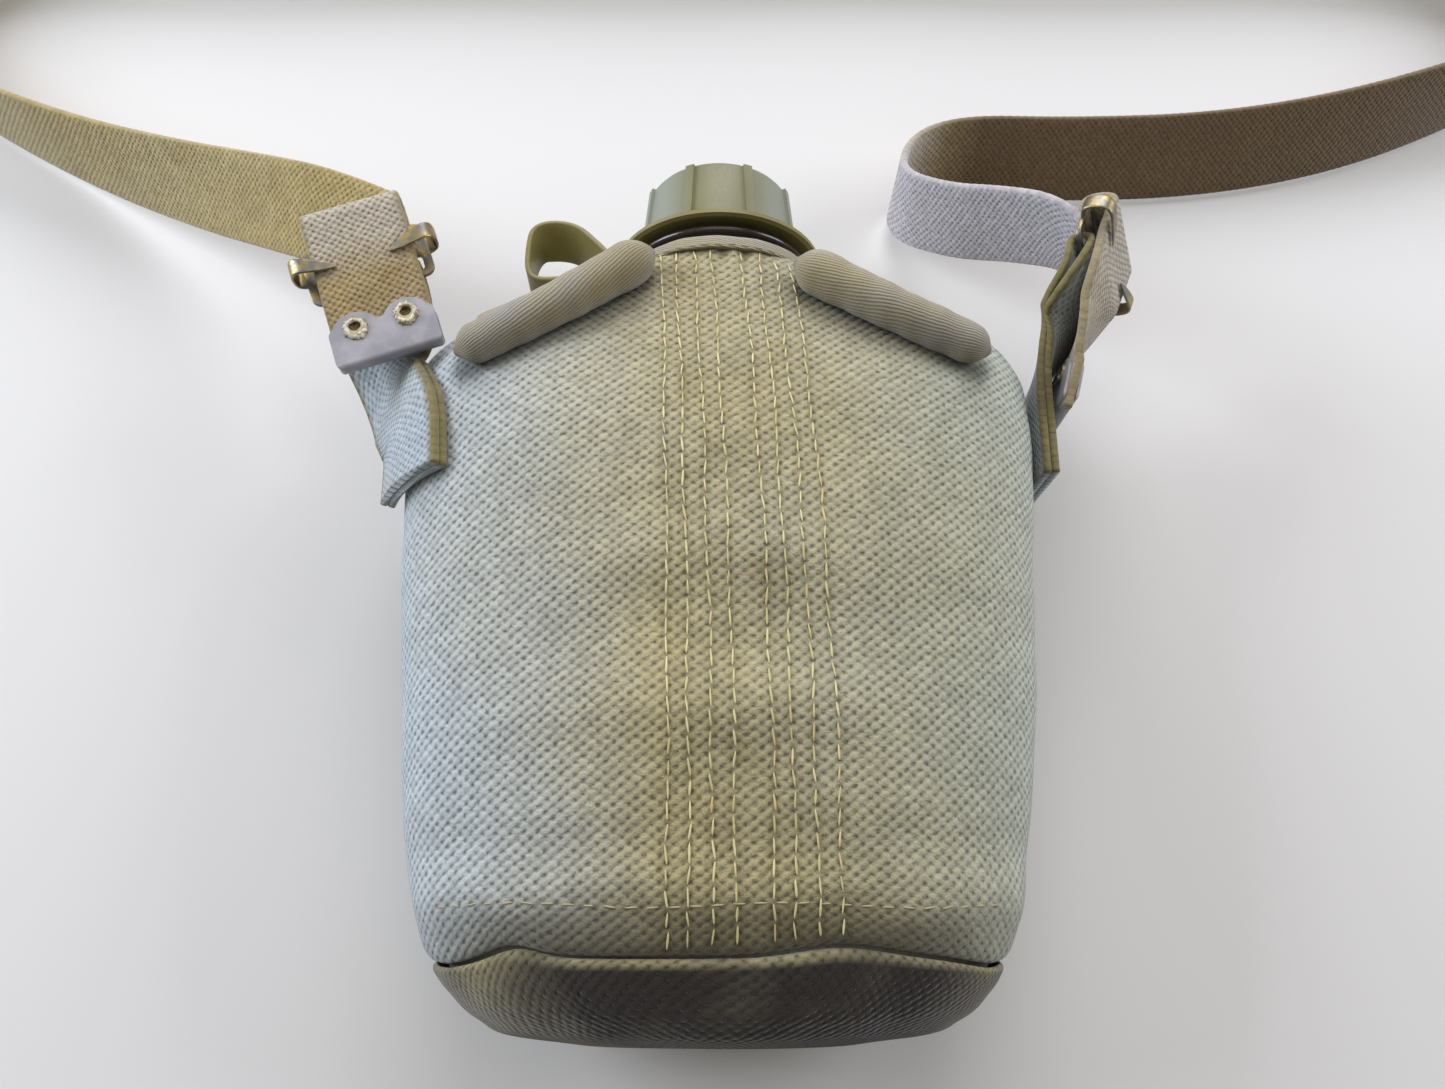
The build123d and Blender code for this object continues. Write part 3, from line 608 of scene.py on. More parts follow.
foot_y = np.concatenate([SEAM_Y - edge_steps, np.linspace(SEAM_Y - 4.2, -98.0, 26), [-98.6, -99.0, -99.4]])
foot_angle = np.linspace(0, 2 * math.pi, 220, endpoint=False)
foot_grid_y, foot_grid_angle = np.meshgrid(foot_y, foot_angle, indexing="ij")
foot_points = cover_point(foot_grid_y, foot_grid_angle)
foot_shift = (seam_y(foot_points[..., 0]) - SEAM_Y) * np.clip(1 - (SEAM_Y - foot_grid_y) / 12, 0, 1) ** 2
foot_points[..., 1] += foot_shift * np.clip((foot_points[..., 2] - 30) / 25, 0, 1)
foot_inward = edge_roll(SEAM_Y - foot_grid_y, 2.6, 2.0)
foot_centre = np.array([0.0, 0.0, AXIS_Z - 2])
foot_out = unit((foot_points - foot_centre) * np.array([1.0, 0.0, 1.0]))
foot_x, foot_z = foot_points[..., 0], foot_points[..., 2]
foot_lift = 0.8 * hump(foot_x, -47, 7) - 0.7 * hump(foot_x, -34, 5) + 0.5 * np.sin(foot_x / 7.0)
foot_lift = (foot_lift - 0.9 * hump(foot_x, 38, 5)) * np.clip((SEAM_Y - foot_grid_y) / 5, 0, 1)
foot_lift *= np.clip((foot_z - 12) / 20, 0, 1)
foot_points = foot_points + foot_out * (foot_lift - foot_inward)[..., None]
inner = [foot_points]
last_row = foot_points[-1]
for share in (0.94, 0.85, 0.72, 0.55, 0.35, 0.15, 0.0):
    closing = foot_centre + (last_row - foot_centre) * share
    closing[:, 1] = last_row[:, 1] - 0.9 * (1 - share ** 2) ** 0.5
    inner.append(closing[None])
foot_points = np.concatenate(inner)
foot_points[..., 2] = np.maximum(foot_points[..., 2], 0.0)
foot_along = np.concatenate([[0], np.cumsum(np.linalg.norm(np.diff(foot_points[:, 55], axis=0), axis=-1))])
foot_run = np.linspace(-FOOT_HALF_GIRTH, FOOT_HALF_GIRTH, len(foot_angle))
foot_uv = np.stack(np.broadcast_arrays(foot_run[None, :], foot_along[:, None]), axis=-1)
foot_mesh = mesh_from_grid("cover_foot_panel", foot_points * MM, foot_uv * MM, loop=True)
foot = thick_cloth("cover_foot_panel", foot_mesh, foot_duck)
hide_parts("cover_bottom")

# ---- Rows of stitches ----
# Cotton thread in lockstitch: eight cream rows hold the gathered front, and single faded rows
# the hem and the neck binding. Each stitch lies on the canvas and dives in at both ends.
STITCH_PITCH = 0.0044
STITCH_LENGTH = 0.0043
THREAD_R = 0.00024


def stitch_tree(material):
    """A node tree that lays stitches at even steps along the edges of a mesh."""
    tree = bpy.data.node_groups.new("rows_of_stitches", "GeometryNodeTree")
    tree.interface.new_socket("Rows", in_out="INPUT", socket_type="NodeSocketGeometry")
    for label, value in (("Pitch", STITCH_PITCH), ("Length", STITCH_LENGTH), ("Thread radius", THREAD_R)):
        tree.interface.new_socket(label, in_out="INPUT", socket_type="NodeSocketFloat").default_value = value
    tree.interface.new_socket("Stitches", in_out="OUTPUT", socket_type="NodeSocketGeometry")
    given = add(tree, "NodeGroupInput").outputs
    face = add(tree, "GeometryNodeInputNamedAttribute", {"Name": "cloth_normal"},
               data_type="FLOAT_VECTOR").outputs[0]
    rows = add(tree, "GeometryNodeMeshToCurve", {"Mesh": given["Rows"]}).outputs[0]
    spots = add(tree, "GeometryNodeCurveToPoints", {"Curve": rows, "Length": given["Pitch"]},
                mode="LENGTH").outputs
    aligned = add(tree, "FunctionNodeAlignEulerToVector", {"Vector": spots["Tangent"]}, axis="Y").outputs[0]
    aligned = add(tree, "FunctionNodeAlignEulerToVector", {"Rotation": aligned, "Vector": face}, axis="Z",
                  pivot_axis="Y").outputs[0]
    turn = add(tree, "FunctionNodeRandomValue", {"Seed": 5}, data_type="FLOAT_VECTOR")
    turn.inputs[0].default_value = (-0.05, -0.05, -0.16)
    turn.inputs[1].default_value = (0.05, 0.05, 0.16)
    turned = add(tree, "FunctionNodeRotateEuler", {"Rotation": aligned, "Rotate By": turn.outputs[0]},
                 space="LOCAL").outputs[0]
    size = add(tree, "FunctionNodeRandomValue", {"Seed": 9}, data_type="FLOAT_VECTOR")
    size.inputs[0].default_value = (0.8, 0.8, 0.8)
    size.inputs[1].default_value = (1.15, 1.08, 1.15)
    ball = add(tree, "GeometryNodeMeshUVSphere", {"Segments": 8, "Rings": 8, "Radius": 1.0}).outputs[0]
    half = add(tree, "ShaderNodeMath", {0: given["Length"], 1: 0.5}, operation="MULTIPLY").outputs[0]
    shape = add(tree, "ShaderNodeCombineXYZ",
                {0: given["Thread radius"], 1: half, 2: given["Thread radius"]}).outputs[0]
    stitch = add(tree, "GeometryNodeTransform", {"Geometry": ball, "Scale": shape}).outputs[0]
    laid = add(tree, "GeometryNodeInstanceOnPoints", {
        "Points": spots["Points"], "Instance": stitch, "Rotation": turned,
        "Scale": size.outputs[0]}).outputs[0]
    real = add(tree, "GeometryNodeRealizeInstances", {"Geometry": laid}).outputs[0]
    done = add(tree, "GeometryNodeSetMaterial", {"Geometry": real, "Material": material}).outputs[0]
    add(tree, "NodeGroupOutput", {0: done})
    return tree


def two_tone(tree, where, scale, detail, band, hexes):
    """Two colours that meet in soft patches of noise. A narrower band has harder edges."""
    patch = add(tree, "ShaderNodeTexNoise", {"Vector": where, "Scale": scale, "Detail": detail}).outputs[0]
    share = add(tree, "ShaderNodeMapRange", {0: patch, 1: band[0], 2: band[1]}).outputs[0]
    return add(tree, "ShaderNodeMix", {0: share, 6: linear(hexes[0]), 7: linear(hexes[1])},
               data_type="RGBA").outputs[2]


thread, thread_tree, thread_shader = new_material("waxed_cotton_thread", 0.7, 0.3)
thread_place = add(thread_tree, "ShaderNodeTexCoord").outputs["Object"]
thread_colour = two_tone(thread_tree, thread_place, 90.0, 2.0, (0.4, 0.62), ("#B9AB75", "#CFC391"))
thread_tree.links.new(thread_colour, thread_shader.inputs["Base Color"])
lay_stitches = stitch_tree(thread)


def stitches(name, rows, finish, slot="canvas", **sizes_in_metres):
    """A piece of stitches along rows of points in metres, each row with its cloth's normals."""
    points = np.concatenate([p for p, _ in rows])
    normals = np.concatenate([n for _, n in rows])
    edges, start = [], 0
    for row, _ in rows:
        edges += [(start + i, start + i + 1) for i in range(len(row) - 1)]
        start += len(row)
    mesh = bpy.data.meshes.new(name + "_rows")
    mesh.from_pydata(points.tolist(), edges, [])
    mesh.attributes.new("cloth_normal", "FLOAT_VECTOR", "POINT").data.foreach_set("vector", normals.ravel())
    holder = linked(name + "_rows", mesh)
    modifier = holder.modifiers.new("stitches", "NODES")
    modifier.node_group = lay_stitches
    for socket in lay_stitches.interface.items_tree:
        if socket.in_out == "INPUT" and socket.name in sizes_in_metres:
            modifier[socket.identifier] = sizes_in_metres[socket.name]
    made = made_mesh(holder)
    made.name = name
    made.shade_smooth()
    return link_piece(name, made, finish, "root")


def on_front(x, y):
    """Points and outward normals on the made front panel, nearest to places across and along it."""
    flat = front_points.reshape(-1, 3)
    keep = flat[:, 2] > 45
    normals = grid_normal(front_points).reshape(-1, 3)[keep]
    flat = flat[keep]
    found, facing = [], []
    for across, along in zip(x, y):
        gap = (flat[:, 0] - across) ** 2 + (flat[:, 1] - along) ** 2
        near = np.argpartition(gap, 4)[:4]
        weight = 1 / (gap[near] + 0.05)
        weight /= weight.sum()
        found.append((across, along, float((flat[near, 2] * weight).sum())))
        facing.append((normals[near] * weight[:, None]).sum(axis=0))
    return np.array(found), unit(np.array(facing))


front_rows = []
for number in range(len(STITCH_FOOT_X)):
    y = np.linspace(-77.5 + 0.4 * number, 95.0 if number < 6 else 88.0, 130)
    x = row_x(number, y)
    spot, facing = on_front(x, y)
    front_rows.append(((spot + facing * 0.17) * MM, facing))
stitches("front_stitches", front_rows, thread)
hem_x = np.linspace(-60, 60, 120)
hem_spot, hem_facing = on_front(hem_x, -70.5 + 0.5 * np.sin(hem_x / 9))
dull_thread, _, dull_shader = new_material("faded_olive_thread", 0.8, 0.2)
dull_shader.inputs["Base Color"].default_value = linear("#9C9270")
stitches("hem_stitches", [((hem_spot + hem_facing * 0.02) * MM, hem_facing)], dull_thread, Length=0.0030)

# ---- Neck binding ----
# Cotton twill tape, folded over the raw edge of the canvas round the neck and stitched down.
NECK_ROW_R = 29.6
NECK_ROW_Y = 93.4


def twill(name, hexes, line_mm, bump_mm):
    """Fine twill tape: thin slanted lines, worn pale along its ridges and grimy between them."""
    material, tree, shader = new_material(name, 0.93, 0.15)
    cloth = add(tree, "ShaderNodeUVMap", uv_map="cloth").outputs["UV"]
    drift = add(tree, "ShaderNodeTexNoise", {"Vector": cloth, "Scale": 220.0, "Detail": 2.0}).outputs[0]
    axes = add(tree, "ShaderNodeSeparateXYZ", {0: cloth})

    def calc(operation, *values):
        return add(tree, "ShaderNodeMath", dict(enumerate(values)), operation=operation).outputs[0]

    slant = calc("MULTIPLY_ADD", axes.outputs[1], 0.22, axes.outputs[0])
    slant = calc("MULTIPLY_ADD", drift, 0.0006, slant)
    line = calc("SINE", calc("MULTIPLY", slant, 2 * math.pi / (line_mm * MM)))
    ridge = add(tree, "ShaderNodeMapRange", {0: line, 1: -1.0, 2: 0.6}).outputs[0]
    fibre = add(tree, "ShaderNodeTexNoise", {"Vector": cloth, "Scale": 2600.0, "Detail": 3.0}).outputs[0]
    height = calc("MULTIPLY_ADD", fibre, 0.5, ridge)
    bump = add(tree, "ShaderNodeBump", {"Height": height, "Distance": bump_mm * MM, "Strength": 1.0})
    colour = two_tone(tree, cloth, 42.0, 4.0, (0.42, 0.6), hexes)
    shade = add(tree, "ShaderNodeMapRange", {0: ridge, 1: 0.0, 2: 1.0, 3: 0.68, 4: 1.04}).outputs[0]
    fuzz = add(tree, "ShaderNodeMapRange", {0: fibre, 1: 0.25, 2: 0.75, 3: 0.8, 4: 1.1}).outputs[0]
    shade = calc("MULTIPLY", shade, fuzz)
    grey = add(tree, "ShaderNodeCombineXYZ", {0: shade, 1: shade, 2: shade}).outputs[0]
    colour = add(tree, "ShaderNodeMix", {0: 1.0, 6: colour, 7: grey},
                 data_type="RGBA", blend_type="MULTIPLY").outputs[2]
    tree.links.new(colour, shader.inputs["Base Color"])
    tree.links.new(bump.outputs[0], shader.inputs["Normal"])
    shader.inputs["Sheen Weight"].default_value = 0.3
    return material


def lathe(name, profile, count=160, wobble=0.0):
    """A closed ring round the neck axis. The profile is a closed loop of radius and place along Y."""
    profile = np.array(profile, float)
    angle = np.linspace(0, 2 * math.pi, count + 1)
    radius, y = profile[:, 0], profile[:, 1]
    ripple = wobble * (np.sin(angle * 7 + 1) + 0.6 * np.sin(angle * 17))
    ripple[-1] = ripple[0]
    x, z = (radius * way(angle)[:, None] for way in (np.cos, np.sin))
    grid = np.stack(np.broadcast_arrays(x, y + ripple[:, None], AXIS_Z + z), axis=-1)
    around = arc_length(profile)
    uv = np.stack(np.broadcast_arrays(around[None, :], (angle * radius.mean())[:, None]), axis=-1)
    return mesh_from_grid(name, grid * MM, uv * MM, loop=True)


tape = twill("cotton_twill_tape", ("#968A69", "#918C7E"), 0.75, 0.13)
binding_mesh = lathe("neck_binding", [
    (27.0, 93.4), (26.6, 95.1), (26.8, 96.5), (27.4, 97.1), (28.2, 96.9), (28.8, 96.1), (29.1, 95.0),
    (29.4, 93.9), (29.7, 92.9), (29.5, 92.5), (28.7, 92.7), (27.7, 93.0)], wobble=0.12)
binding = link_piece("neck_binding", binding_mesh, tape, "root")
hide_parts("collar_binding")
neck_turn = np.linspace(math.radians(28), math.radians(152), 120)
neck_out = np.stack([np.cos(neck_turn), 0.25 + 0 * neck_turn, np.sin(neck_turn)], axis=1)
neck_row = np.stack([NECK_ROW_R * np.cos(neck_turn), NECK_ROW_Y + 0 * neck_turn,
                     AXIS_Z + NECK_ROW_R * np.sin(neck_turn)], axis=1)
stitches("neck_stitches", [(neck_row * MM, unit(neck_out))], dull_thread, slot="twill_tape",
         Pitch=0.0034, Length=0.0026)

# ---- Shoulder flaps ----
# Two canvas flaps close over the shoulder. Each front edge is rolled round a soft core and bound
# in twill tape, fattest at the neck end.
ROLL_R = 5.25
ROLL_REACH = 7.0         # the roll's shaping ends this far from its middle line,
ROLL_FADE = 1.2          # and fades out over this much
ROLL_END = 5.5           # length of a roll's rounded end


def softened(mesh, voxel, smoothing):
    """A remeshed and smoothed copy of a closed mesh."""
    holder = linked("soften", mesh)
    remesh = holder.modifiers.new("remesh", "REMESH")
    remesh.mode = "VOXEL"
    remesh.voxel_size = voxel
    smooth = holder.modifiers.new("smooth", "SMOOTH")
    smooth.iterations = smoothing
    smooth.factor = 0.5
    return made_mesh(holder)


def flap_piece(side, roll):
    """A shoulder flap: its web, and the soft roll along its edge with rounded ends."""
    nodes = [bpy.data.objects[f"{side}_{part}"].data for part in ("flap", "flap_binding")]
    mesh = softened(joined("joined", nodes), 0.0007, 4)
    where = coordinates(mesh)
    line = spline_points([[c * MM for c in point] for point in roll], 60) / MM
    place = arc_length(line)
    gap = np.linalg.norm(where[:, None] - line[None], axis=-1)
    near = gap.argmin(axis=1)
    travel = unit(np.gradient(line, axis=0))[near]
    offset = where - line[near]
    lengthwise = (offset * travel).sum(axis=1, keepdims=True)
    radial = offset - travel * lengthwise
    far = np.linalg.norm(radial, axis=1)
    s = place[near] + lengthwise[:, 0]
    roll_share = np.clip((ROLL_REACH - far) / ROLL_FADE, 0, 1)
    from_end = np.minimum(s, place[-1] - s)
    t = np.clip(1 - from_end / ROLL_END, 0, 1)
    fat = 1.13 - 0.17 * s / place[-1] + 0.03 * np.sin(s / 3.1) * np.sin(s / 7.7 + 1)
    factor = fat * np.sqrt(np.maximum(1 - (0.93 * t) ** 2.3, 0.02))
    moved = line[near] + travel * lengthwise + radial * (1 + (factor - 1) * roll_share)[:, None]
    bulge = np.where(s < place[-1] / 2, -1.0, 1.0) * 1.6 * t ** 3 * np.clip(1 - (far / 5.6) ** 2, 0, 1)
    inner_stretch = -4.5 * np.clip(1 - s / 24, 0, 1) ** 1.5
    moved = moved + travel * ((bulge + inner_stretch) * roll_share)[:, None]
    moved += unit(radial) * (0.14 * np.sin(s / 1.9 + far) * np.sin(moved[:, 0] / 2.3))[:, None]
    mesh.vertices.foreach_set("co", (moved * MM).ravel())
    down = np.array([0.0, 0.35, -1.0])
    first = unit(-down - travel * (-down * travel).sum(axis=1, keepdims=True))
    second = np.cross(travel, first)
    angle = np.arctan2((radial * second).sum(axis=1), (radial * first).sum(axis=1))
    u = angle * ROLL_R + np.maximum(far - ROLL_R, 0)
    corner_vertex = corner_vertices(mesh)
    corner_u = u[corner_vertex]
    for polygon in mesh.polygons:
        span = slice(polygon.loop_start, polygon.loop_start + polygon.loop_total)
        if np.ptp(corner_u[span]) > math.pi * ROLL_R:
            corner_u[span] += np.where(corner_u[span] < 0, 2 * math.pi * ROLL_R, 0)
    layer = mesh.uv_layers.new(name="cloth")
    layer.data.foreach_set("uv", np.stack([corner_u, s[corner_vertex]], axis=1).ravel() * MM)
    mesh.shade_smooth()
    piece = link_piece(f"{side}_shoulder_flap", mesh, tape, f"{side}_flap_body")
    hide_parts(f"{side}_flap", f"{side}_flap_binding")


flap_piece("left", LEFT_ROLL)
flap_piece("right", RIGHT_ROLL)

# ---- Chapes: straps sewn to the cover's sides ----
# A doubled strap of the same webbing rises from each side of the cover, past the shoulder, and
# its fold holds the lower bar of the buckle. Its two layers part a little round the bar.
STRAP_Z = 5.3
BAR_Y = -7.1


class BuckleFrame:
    """A buckle's own axes: X along its bars, Y along the strap away from the canteen, Z out."""

    def __init__(self, origin, x_dir, z_dir):
        self.origin = np.array(origin, float)
        self.z = unit(np.array(z_dir, float))
        x_dir = np.array(x_dir, float)
        self.x = unit(x_dir - self.z * (x_dir @ self.z))
        self.y = np.cross(self.z, self.x)

    def at(self, x, y, z):
        """A point of the frame, in millimetres."""
        return tuple(self.origin + self.x * x + self.y * y + self.z * z)


LEFT = BuckleFrame((-94.3, 93.5, 57.0), (0.945, 0.326, 0), (0.02, -0.07, 1))
RIGHT = BuckleFrame((103.5, 99.5, 50.0), (0.40, -0.33, -0.855), (0.83, -0.265, 0.491))


def chape_stations(buckle, sewn_part, parting):
    """Out along one layer, round the bar and back along the other."""
    route = list(sewn_part) + [(buckle.at(0, BAR_Y - 5.5, 0.3), tuple(buckle.x))]
    centres = np.array([centre for centre, _ in route])
    ways = unit(np.array([way for _, way in route]))
    travel = unit(np.gradient(centres, axis=0))
    normal = unit(np.cross(ways, travel))
    apart = normal * np.array(parting)[:, None]
    upper, lower = ([(tuple(c), tuple(w)) for c, w in zip(centres + apart * face, ways)] for face in (1, -1))
    round_bar = ((-0.5, 2.8), (3.0, 2.6), (3.0, -2.6), (-0.5, -2.8))
    turn = [(buckle.at(0, BAR_Y + y, 0.6 + z), tuple(buckle.x)) for y, z in round_bar]
    if (np.array(upper[-1][0]) - np.array(lower[-1][0])) @ buckle.z < 0:
        turn = turn[::-1]
    return upper + turn + lower[::-1]


def chape_paint(colour, u, v, calc, ramp, mixed, noise):
    """The faces have faded blue-grey, and the selvages have kept their olive dye."""
    return mixed(ramp(calc("ABSOLUTE", u), 0.0108, 0.0128), colour, linear("#6E6541"))


chape_webbing = woven("faded_cotton_webbing", (2.4, 2.1), ("#969FA3", "#949B98", "#898B80", "#9EA29B"),
                      0.35, 0.1, chape_paint, selvage=WEB_SELVAGE)
LEFT_CHAPE = (
    ((-77.9, 29.5, 59.4), (0.68, 0, 0.733)),
    ((-79.0, 44.0, 57.6), (0.655, 0, 0.755)),
    ((-82.6, 52.0, 53.0), (0.64, 0.03, 0.77)),
    ((-86.6, 59.5, 47.6), (0.62, 0.06, 0.78)),
    ((-89.0, 70.5, 49.3), (0.86, 0.27, 0.42)),
)
RIGHT_CHAPE = (
    ((86.4, 37.0, 37.0), (0, 0, -1)),
    ((86.4, 50.0, 37.5), (0, 0, -1)),
    ((86.4, 60.0, 38.0), (0, 0, -1)),
    ((89.8, 71.0, 40.5), (0.12, -0.10, -0.98)),
    ((95.6, 81.0, 44.5), (0.28, -0.25, -0.92)),
)
for side, buckle, route, parting, bow in (
    ("left", LEFT, LEFT_CHAPE, (1.05, 1.05, 1.05, 1.05, 1.1, 2.0),
     (0.0022, 0.0022, 0.001, 0, 0, 0, 0, 0, -0.001, -0.0022, -0.0022)),
    ("right", RIGHT, RIGHT_CHAPE, (1.05, 1.05, 1.05, 1.1, 1.3, 2.2), 0.0),
):
    mesh, _ = strip_mesh(f"{side}_chape_strap", chape_stations(buckle, route, parting), 16,
                         WEB_WIDTH, 0.0020, scallop=0.00003, bow=bow)
    piece = link_piece(f"{side}_chape_strap", mesh, chape_webbing, "root")
    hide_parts(f"{side}_chape")

# ---- Buckles ----
# Stamped steel slides with two slots and a horn at each end that bends over the strap. Thin
# brass plating is left in the hollows, and grey steel shows where the strap has rubbed.
SHEET_METAL = 1.2
# A horn's course in millimetres, across and out of the plate. Its width and thickness, in
# metres, taper along it to a thin tip.
HORN = ((14.2, 0.7), (17.0, 0.6), (18.9, 0.9), (19.4, 3.0), (19.0, 6.6), (17.2, 8.2), (13.0, 8.0), (7.0, 7.2))
HORN_WIDTH = (0.0052, 0.0050, 0.0048, 0.0046, 0.0040, 0.0030, 0.0008)
HORN_THICK = (0.0011, 0.0010, 0.0009, 0.0008, 0.0008, 0.0007, 0.0005)


def fine_scuffs(tree, shader, where, scale, detail, roughness, depth, strength):
    """Fine noise that roughens and dents a hard surface."""
    fine = add(tree, "ShaderNodeTexNoise", {"Vector": where, "Scale": scale, "Detail": detail}).outputs[0]
    rough = add(tree, "ShaderNodeMapRange", {0: fine, 1: 0.3, 2: 0.7, 3: roughness[0], 4: roughness[1]})
    raised = add(tree, "ShaderNodeBump", {"Height": fine, "Distance": depth, "Strength": strength})
    tree.links.new(rough.outputs[0], shader.inputs["Roughness"])
    tree.links.new(raised.outputs[0], shader.inputs["Normal"])


def worn_metal(name, hexes, roughness, metallic=1.0, scale=260.0):
    """Worn plated metal: two tones in soft patches, fine scratches and a dull shine."""
    material, tree, shader = new_material(name, roughness)
    where = add(tree, "ShaderNodeTexCoord").outputs["Object"]
    tree.links.new(two_tone(tree, where, scale, 4.0, (0.42, 0.6), hexes), shader.inputs["Base Color"])
    fine_scuffs(tree, shader, where, 2400.0, 3.0, (roughness - 0.08, roughness + 0.14), 0.00006, 0.7)
    shader.inputs["Metallic"].default_value = metallic
    return material


plated = worn_metal("worn_brass_plated_steel", ("#77746C", "#A08C58"), 0.4)


def rounded_loop(half_x, half_y, radius, centre_y):
    """Points of a rounded rectangle."""
    points = []
    for corner, (sx, sy) in enumerate(((1, 1), (-1, 1), (-1, -1), (1, -1))):
        for step in np.linspace(0, math.pi / 2, 6):
            angle = corner * math.pi / 2 + step
            points.append((sx * (half_x - radius) + radius * math.cos(angle),
                           centre_y + sy * (half_y - radius) + radius * math.sin(angle)))
    return points


def buckle_plate():
    """The flat plate with its two slots, in the buckle's own axes in millimetres."""
    data = bpy.data.curves.new("plate", "CURVE")
    data.dimensions = "2D"
    data.fill_mode = "BOTH"
    data.extrude = SHEET_METAL / 2 - 0.2
    data.bevel_depth = 0.2
    data.bevel_resolution = 2
    slots = [rounded_loop(14.5, 2.4, 1.3, slot_y) for slot_y in (4.0, -4.0)]
    for loop in (rounded_loop(16.6, 7.8, 2.5, 0), *slots):
        line = data.splines.new("POLY")
        line.points.add(len(loop) - 1)
        for point, (x, y) in zip(line.points, loop):
            point.co = (x, y, 0, 1)
        line.use_cyclic_u = True
    return made_mesh(linked("plate", data))


def buckle_piece(side, buckle):
    """The plate and its two horns."""
    plate = buckle_plate()
    flat = coordinates(plate) * MM
    placed = [np.array(buckle.at(x, y, z + SHEET_METAL / 2)) * MM for x, y, z in flat]
    plate.vertices.foreach_set("co", np.array(placed).ravel())
    parts = [plate]
    for hand in (-1, 1):
        stations = [(buckle.at(hand * x, 0.25 * (x - 14), z), tuple(buckle.y)) for x, z in HORN]
        parts.append(strip_mesh("horn", stations, 8, HORN_WIDTH, HORN_THICK, roundness=0.5)[0])
    mesh = joined(f"{side}_slide_buckle", parts)
    for layer in list(mesh.uv_layers):
        mesh.uv_layers.remove(layer)
    mesh.shade_smooth()
    mesh.set_sharp_from_angle(angle=math.radians(40))
    piece = link_piece(f"{side}_slide_buckle", mesh, plated, "root")
    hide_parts(f"{side}_buckle")


buckle_piece("left", LEFT)
buckle_piece("right", RIGHT)

# ---- The sling's folds and loose ends ----
# At each buckle the sling comes up through the outer slot, folds over and lies back under the
# horns. What is left over hangs free and ends in a metal tip.
# Millimetres, in a buckle's own axes: along the strap, then out.
UNDER_HORNS = ((3.0, 5.5), (-2.6, 5.3))
LEFT_FOLD = ((4.2, -1.8), (9.5, -1.9), (15.6, -2.1), (16.8, 1.8), (15.5, 5.9), (9.5, 5.7)) + UNDER_HORNS
RIGHT_FOLD = ((4.2, -1.8), (7.6, -2.0), (11.0, -2.0), (12.2, 1.8), (11.0, 5.8), (7.5, 5.6)) + UNDER_HORNS
LEFT_LOOSE = ((-9.0, 5.7), (-15.5, 5.3), (-23.0, 5.3), (-30.2, 5.3))
# The right end hangs off the buckle's side, so it is placed as the sling is.
RIGHT_LOOSE = (
    (RIGHT.at(0, -11.6, 5.7), (0.36, -0.33, -0.87)),
    ((100.0, 78.8, 50.6), (0.15, -0.2, -0.96)),
    ((95.4, 70.0, 47.0), (0, 0, -1)),
    ((94.6, 67.17, 46.12), (0, 0, -1)),
    ((93.4, 62.93, 44.8), (0, 0, -1)),
    ((91.5, 56.2, 42.72), (0, 0, -1)),
)


def tail_paint(colour, u, v, calc, ramp, mixed, noise):
    """The fold's top, facing the light, has a grey-white painted highlight, and the tail below it has kept
    more of its dye.
    """
    uneven = calc("MULTIPLY_ADD", noise(60.0, 2.0).outputs["Fac"], 0.012, v)
    # Painted highlight on the top of the fold, which faces the light.
    lit_fold_top = calc("MULTIPLY", ramp(uneven, 0.010, 0.016), ramp(uneven, 0.034, 0.046, 1.0, 0.0))
    colour = mixed(calc("MULTIPLY", lit_fold_top, 0.8), colour, linear("#A59C8C"))
    return mixed(ramp(calc("ABSOLUTE", u), 0.0118, 0.0132, 0.0, 0.6), colour, linear("#75693F"))


YELLOWED = ("#8F7B4F", "#8D7B5C", "#806B38", "#9C8D62")
PALE = ("#A2957B", "#A1968A", "#8F8264", "#AEA28C")
for side, buckle, fold, loose, hexes in (
    ("left", LEFT, LEFT_FOLD, [(LEFT.at(0, y, z), tuple(LEFT.x)) for y, z in LEFT_LOOSE], YELLOWED),
    ("right", RIGHT, RIGHT_FOLD, list(RIGHT_LOOSE), PALE),
):
    tail_webbing = woven(f"{side}_tail_webbing", WEB_KNOT, hexes, 0.45, 0.1, tail_paint, selvage=WEB_SELVAGE)
    stations = [(buckle.at(0, y, z), tuple(buckle.x)) for y, z in fold] + loose
    mesh, _ = strip_mesh(f"{side}_fold_and_tail", stations, 16, WEB_WIDTH, WEB_THICK, scallop=0.00004)
    piece = link_piece(f"{side}_fold_and_tail", mesh, tail_webbing, None)
    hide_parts(f"{side}_sling_turn", f"{side}_tail")
    start, end = (tuple(c * MM for c in buckle.at(0, y, STRAP_Z)) for y in (-1.4, -5.0))
    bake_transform(piece)

# ---- Metal tips and their eyelets ----
# Each tip is folded steel under a worn grey-violet enamel, with a two-lobed edge. Its brass
# eyelets have torn rims of metal and frayed thread.
enamel = worn_metal("worn_grey_enamelled_steel", ("#8A888C", "#9E9A9B"), 0.45, metallic=0.3, scale=120.0)
eyelet_metal = worn_metal("tarnished_brass", ("#8C7F66", "#B9AE94"), 0.45)
frayed, frayed_tree, frayed_shader = new_material("frayed_eyelet_rim", 0.8, 0.3)
frayed_place = add(frayed_tree, "ShaderNodeTexCoord").outputs["Object"]
frayed_colour = two_tone(frayed_tree, frayed_place, 900.0, 3.0, (0.38, 0.6), ("#8C7E5C", "#D2CAB4"))
frayed_tree.links.new(frayed_colour, frayed_shader.inputs["Base Color"])


# From the eyelet outwards, in millimetres: radius, rise off the face, and how ragged it is.
RIM_ROWS = ((1.75, 0.62, 0.1), (2.1, 0.86, 0.2), (2.6, 0.82, 0.5), (3.0, 0.42, 0.9), (3.25, 0.0, 1.0))


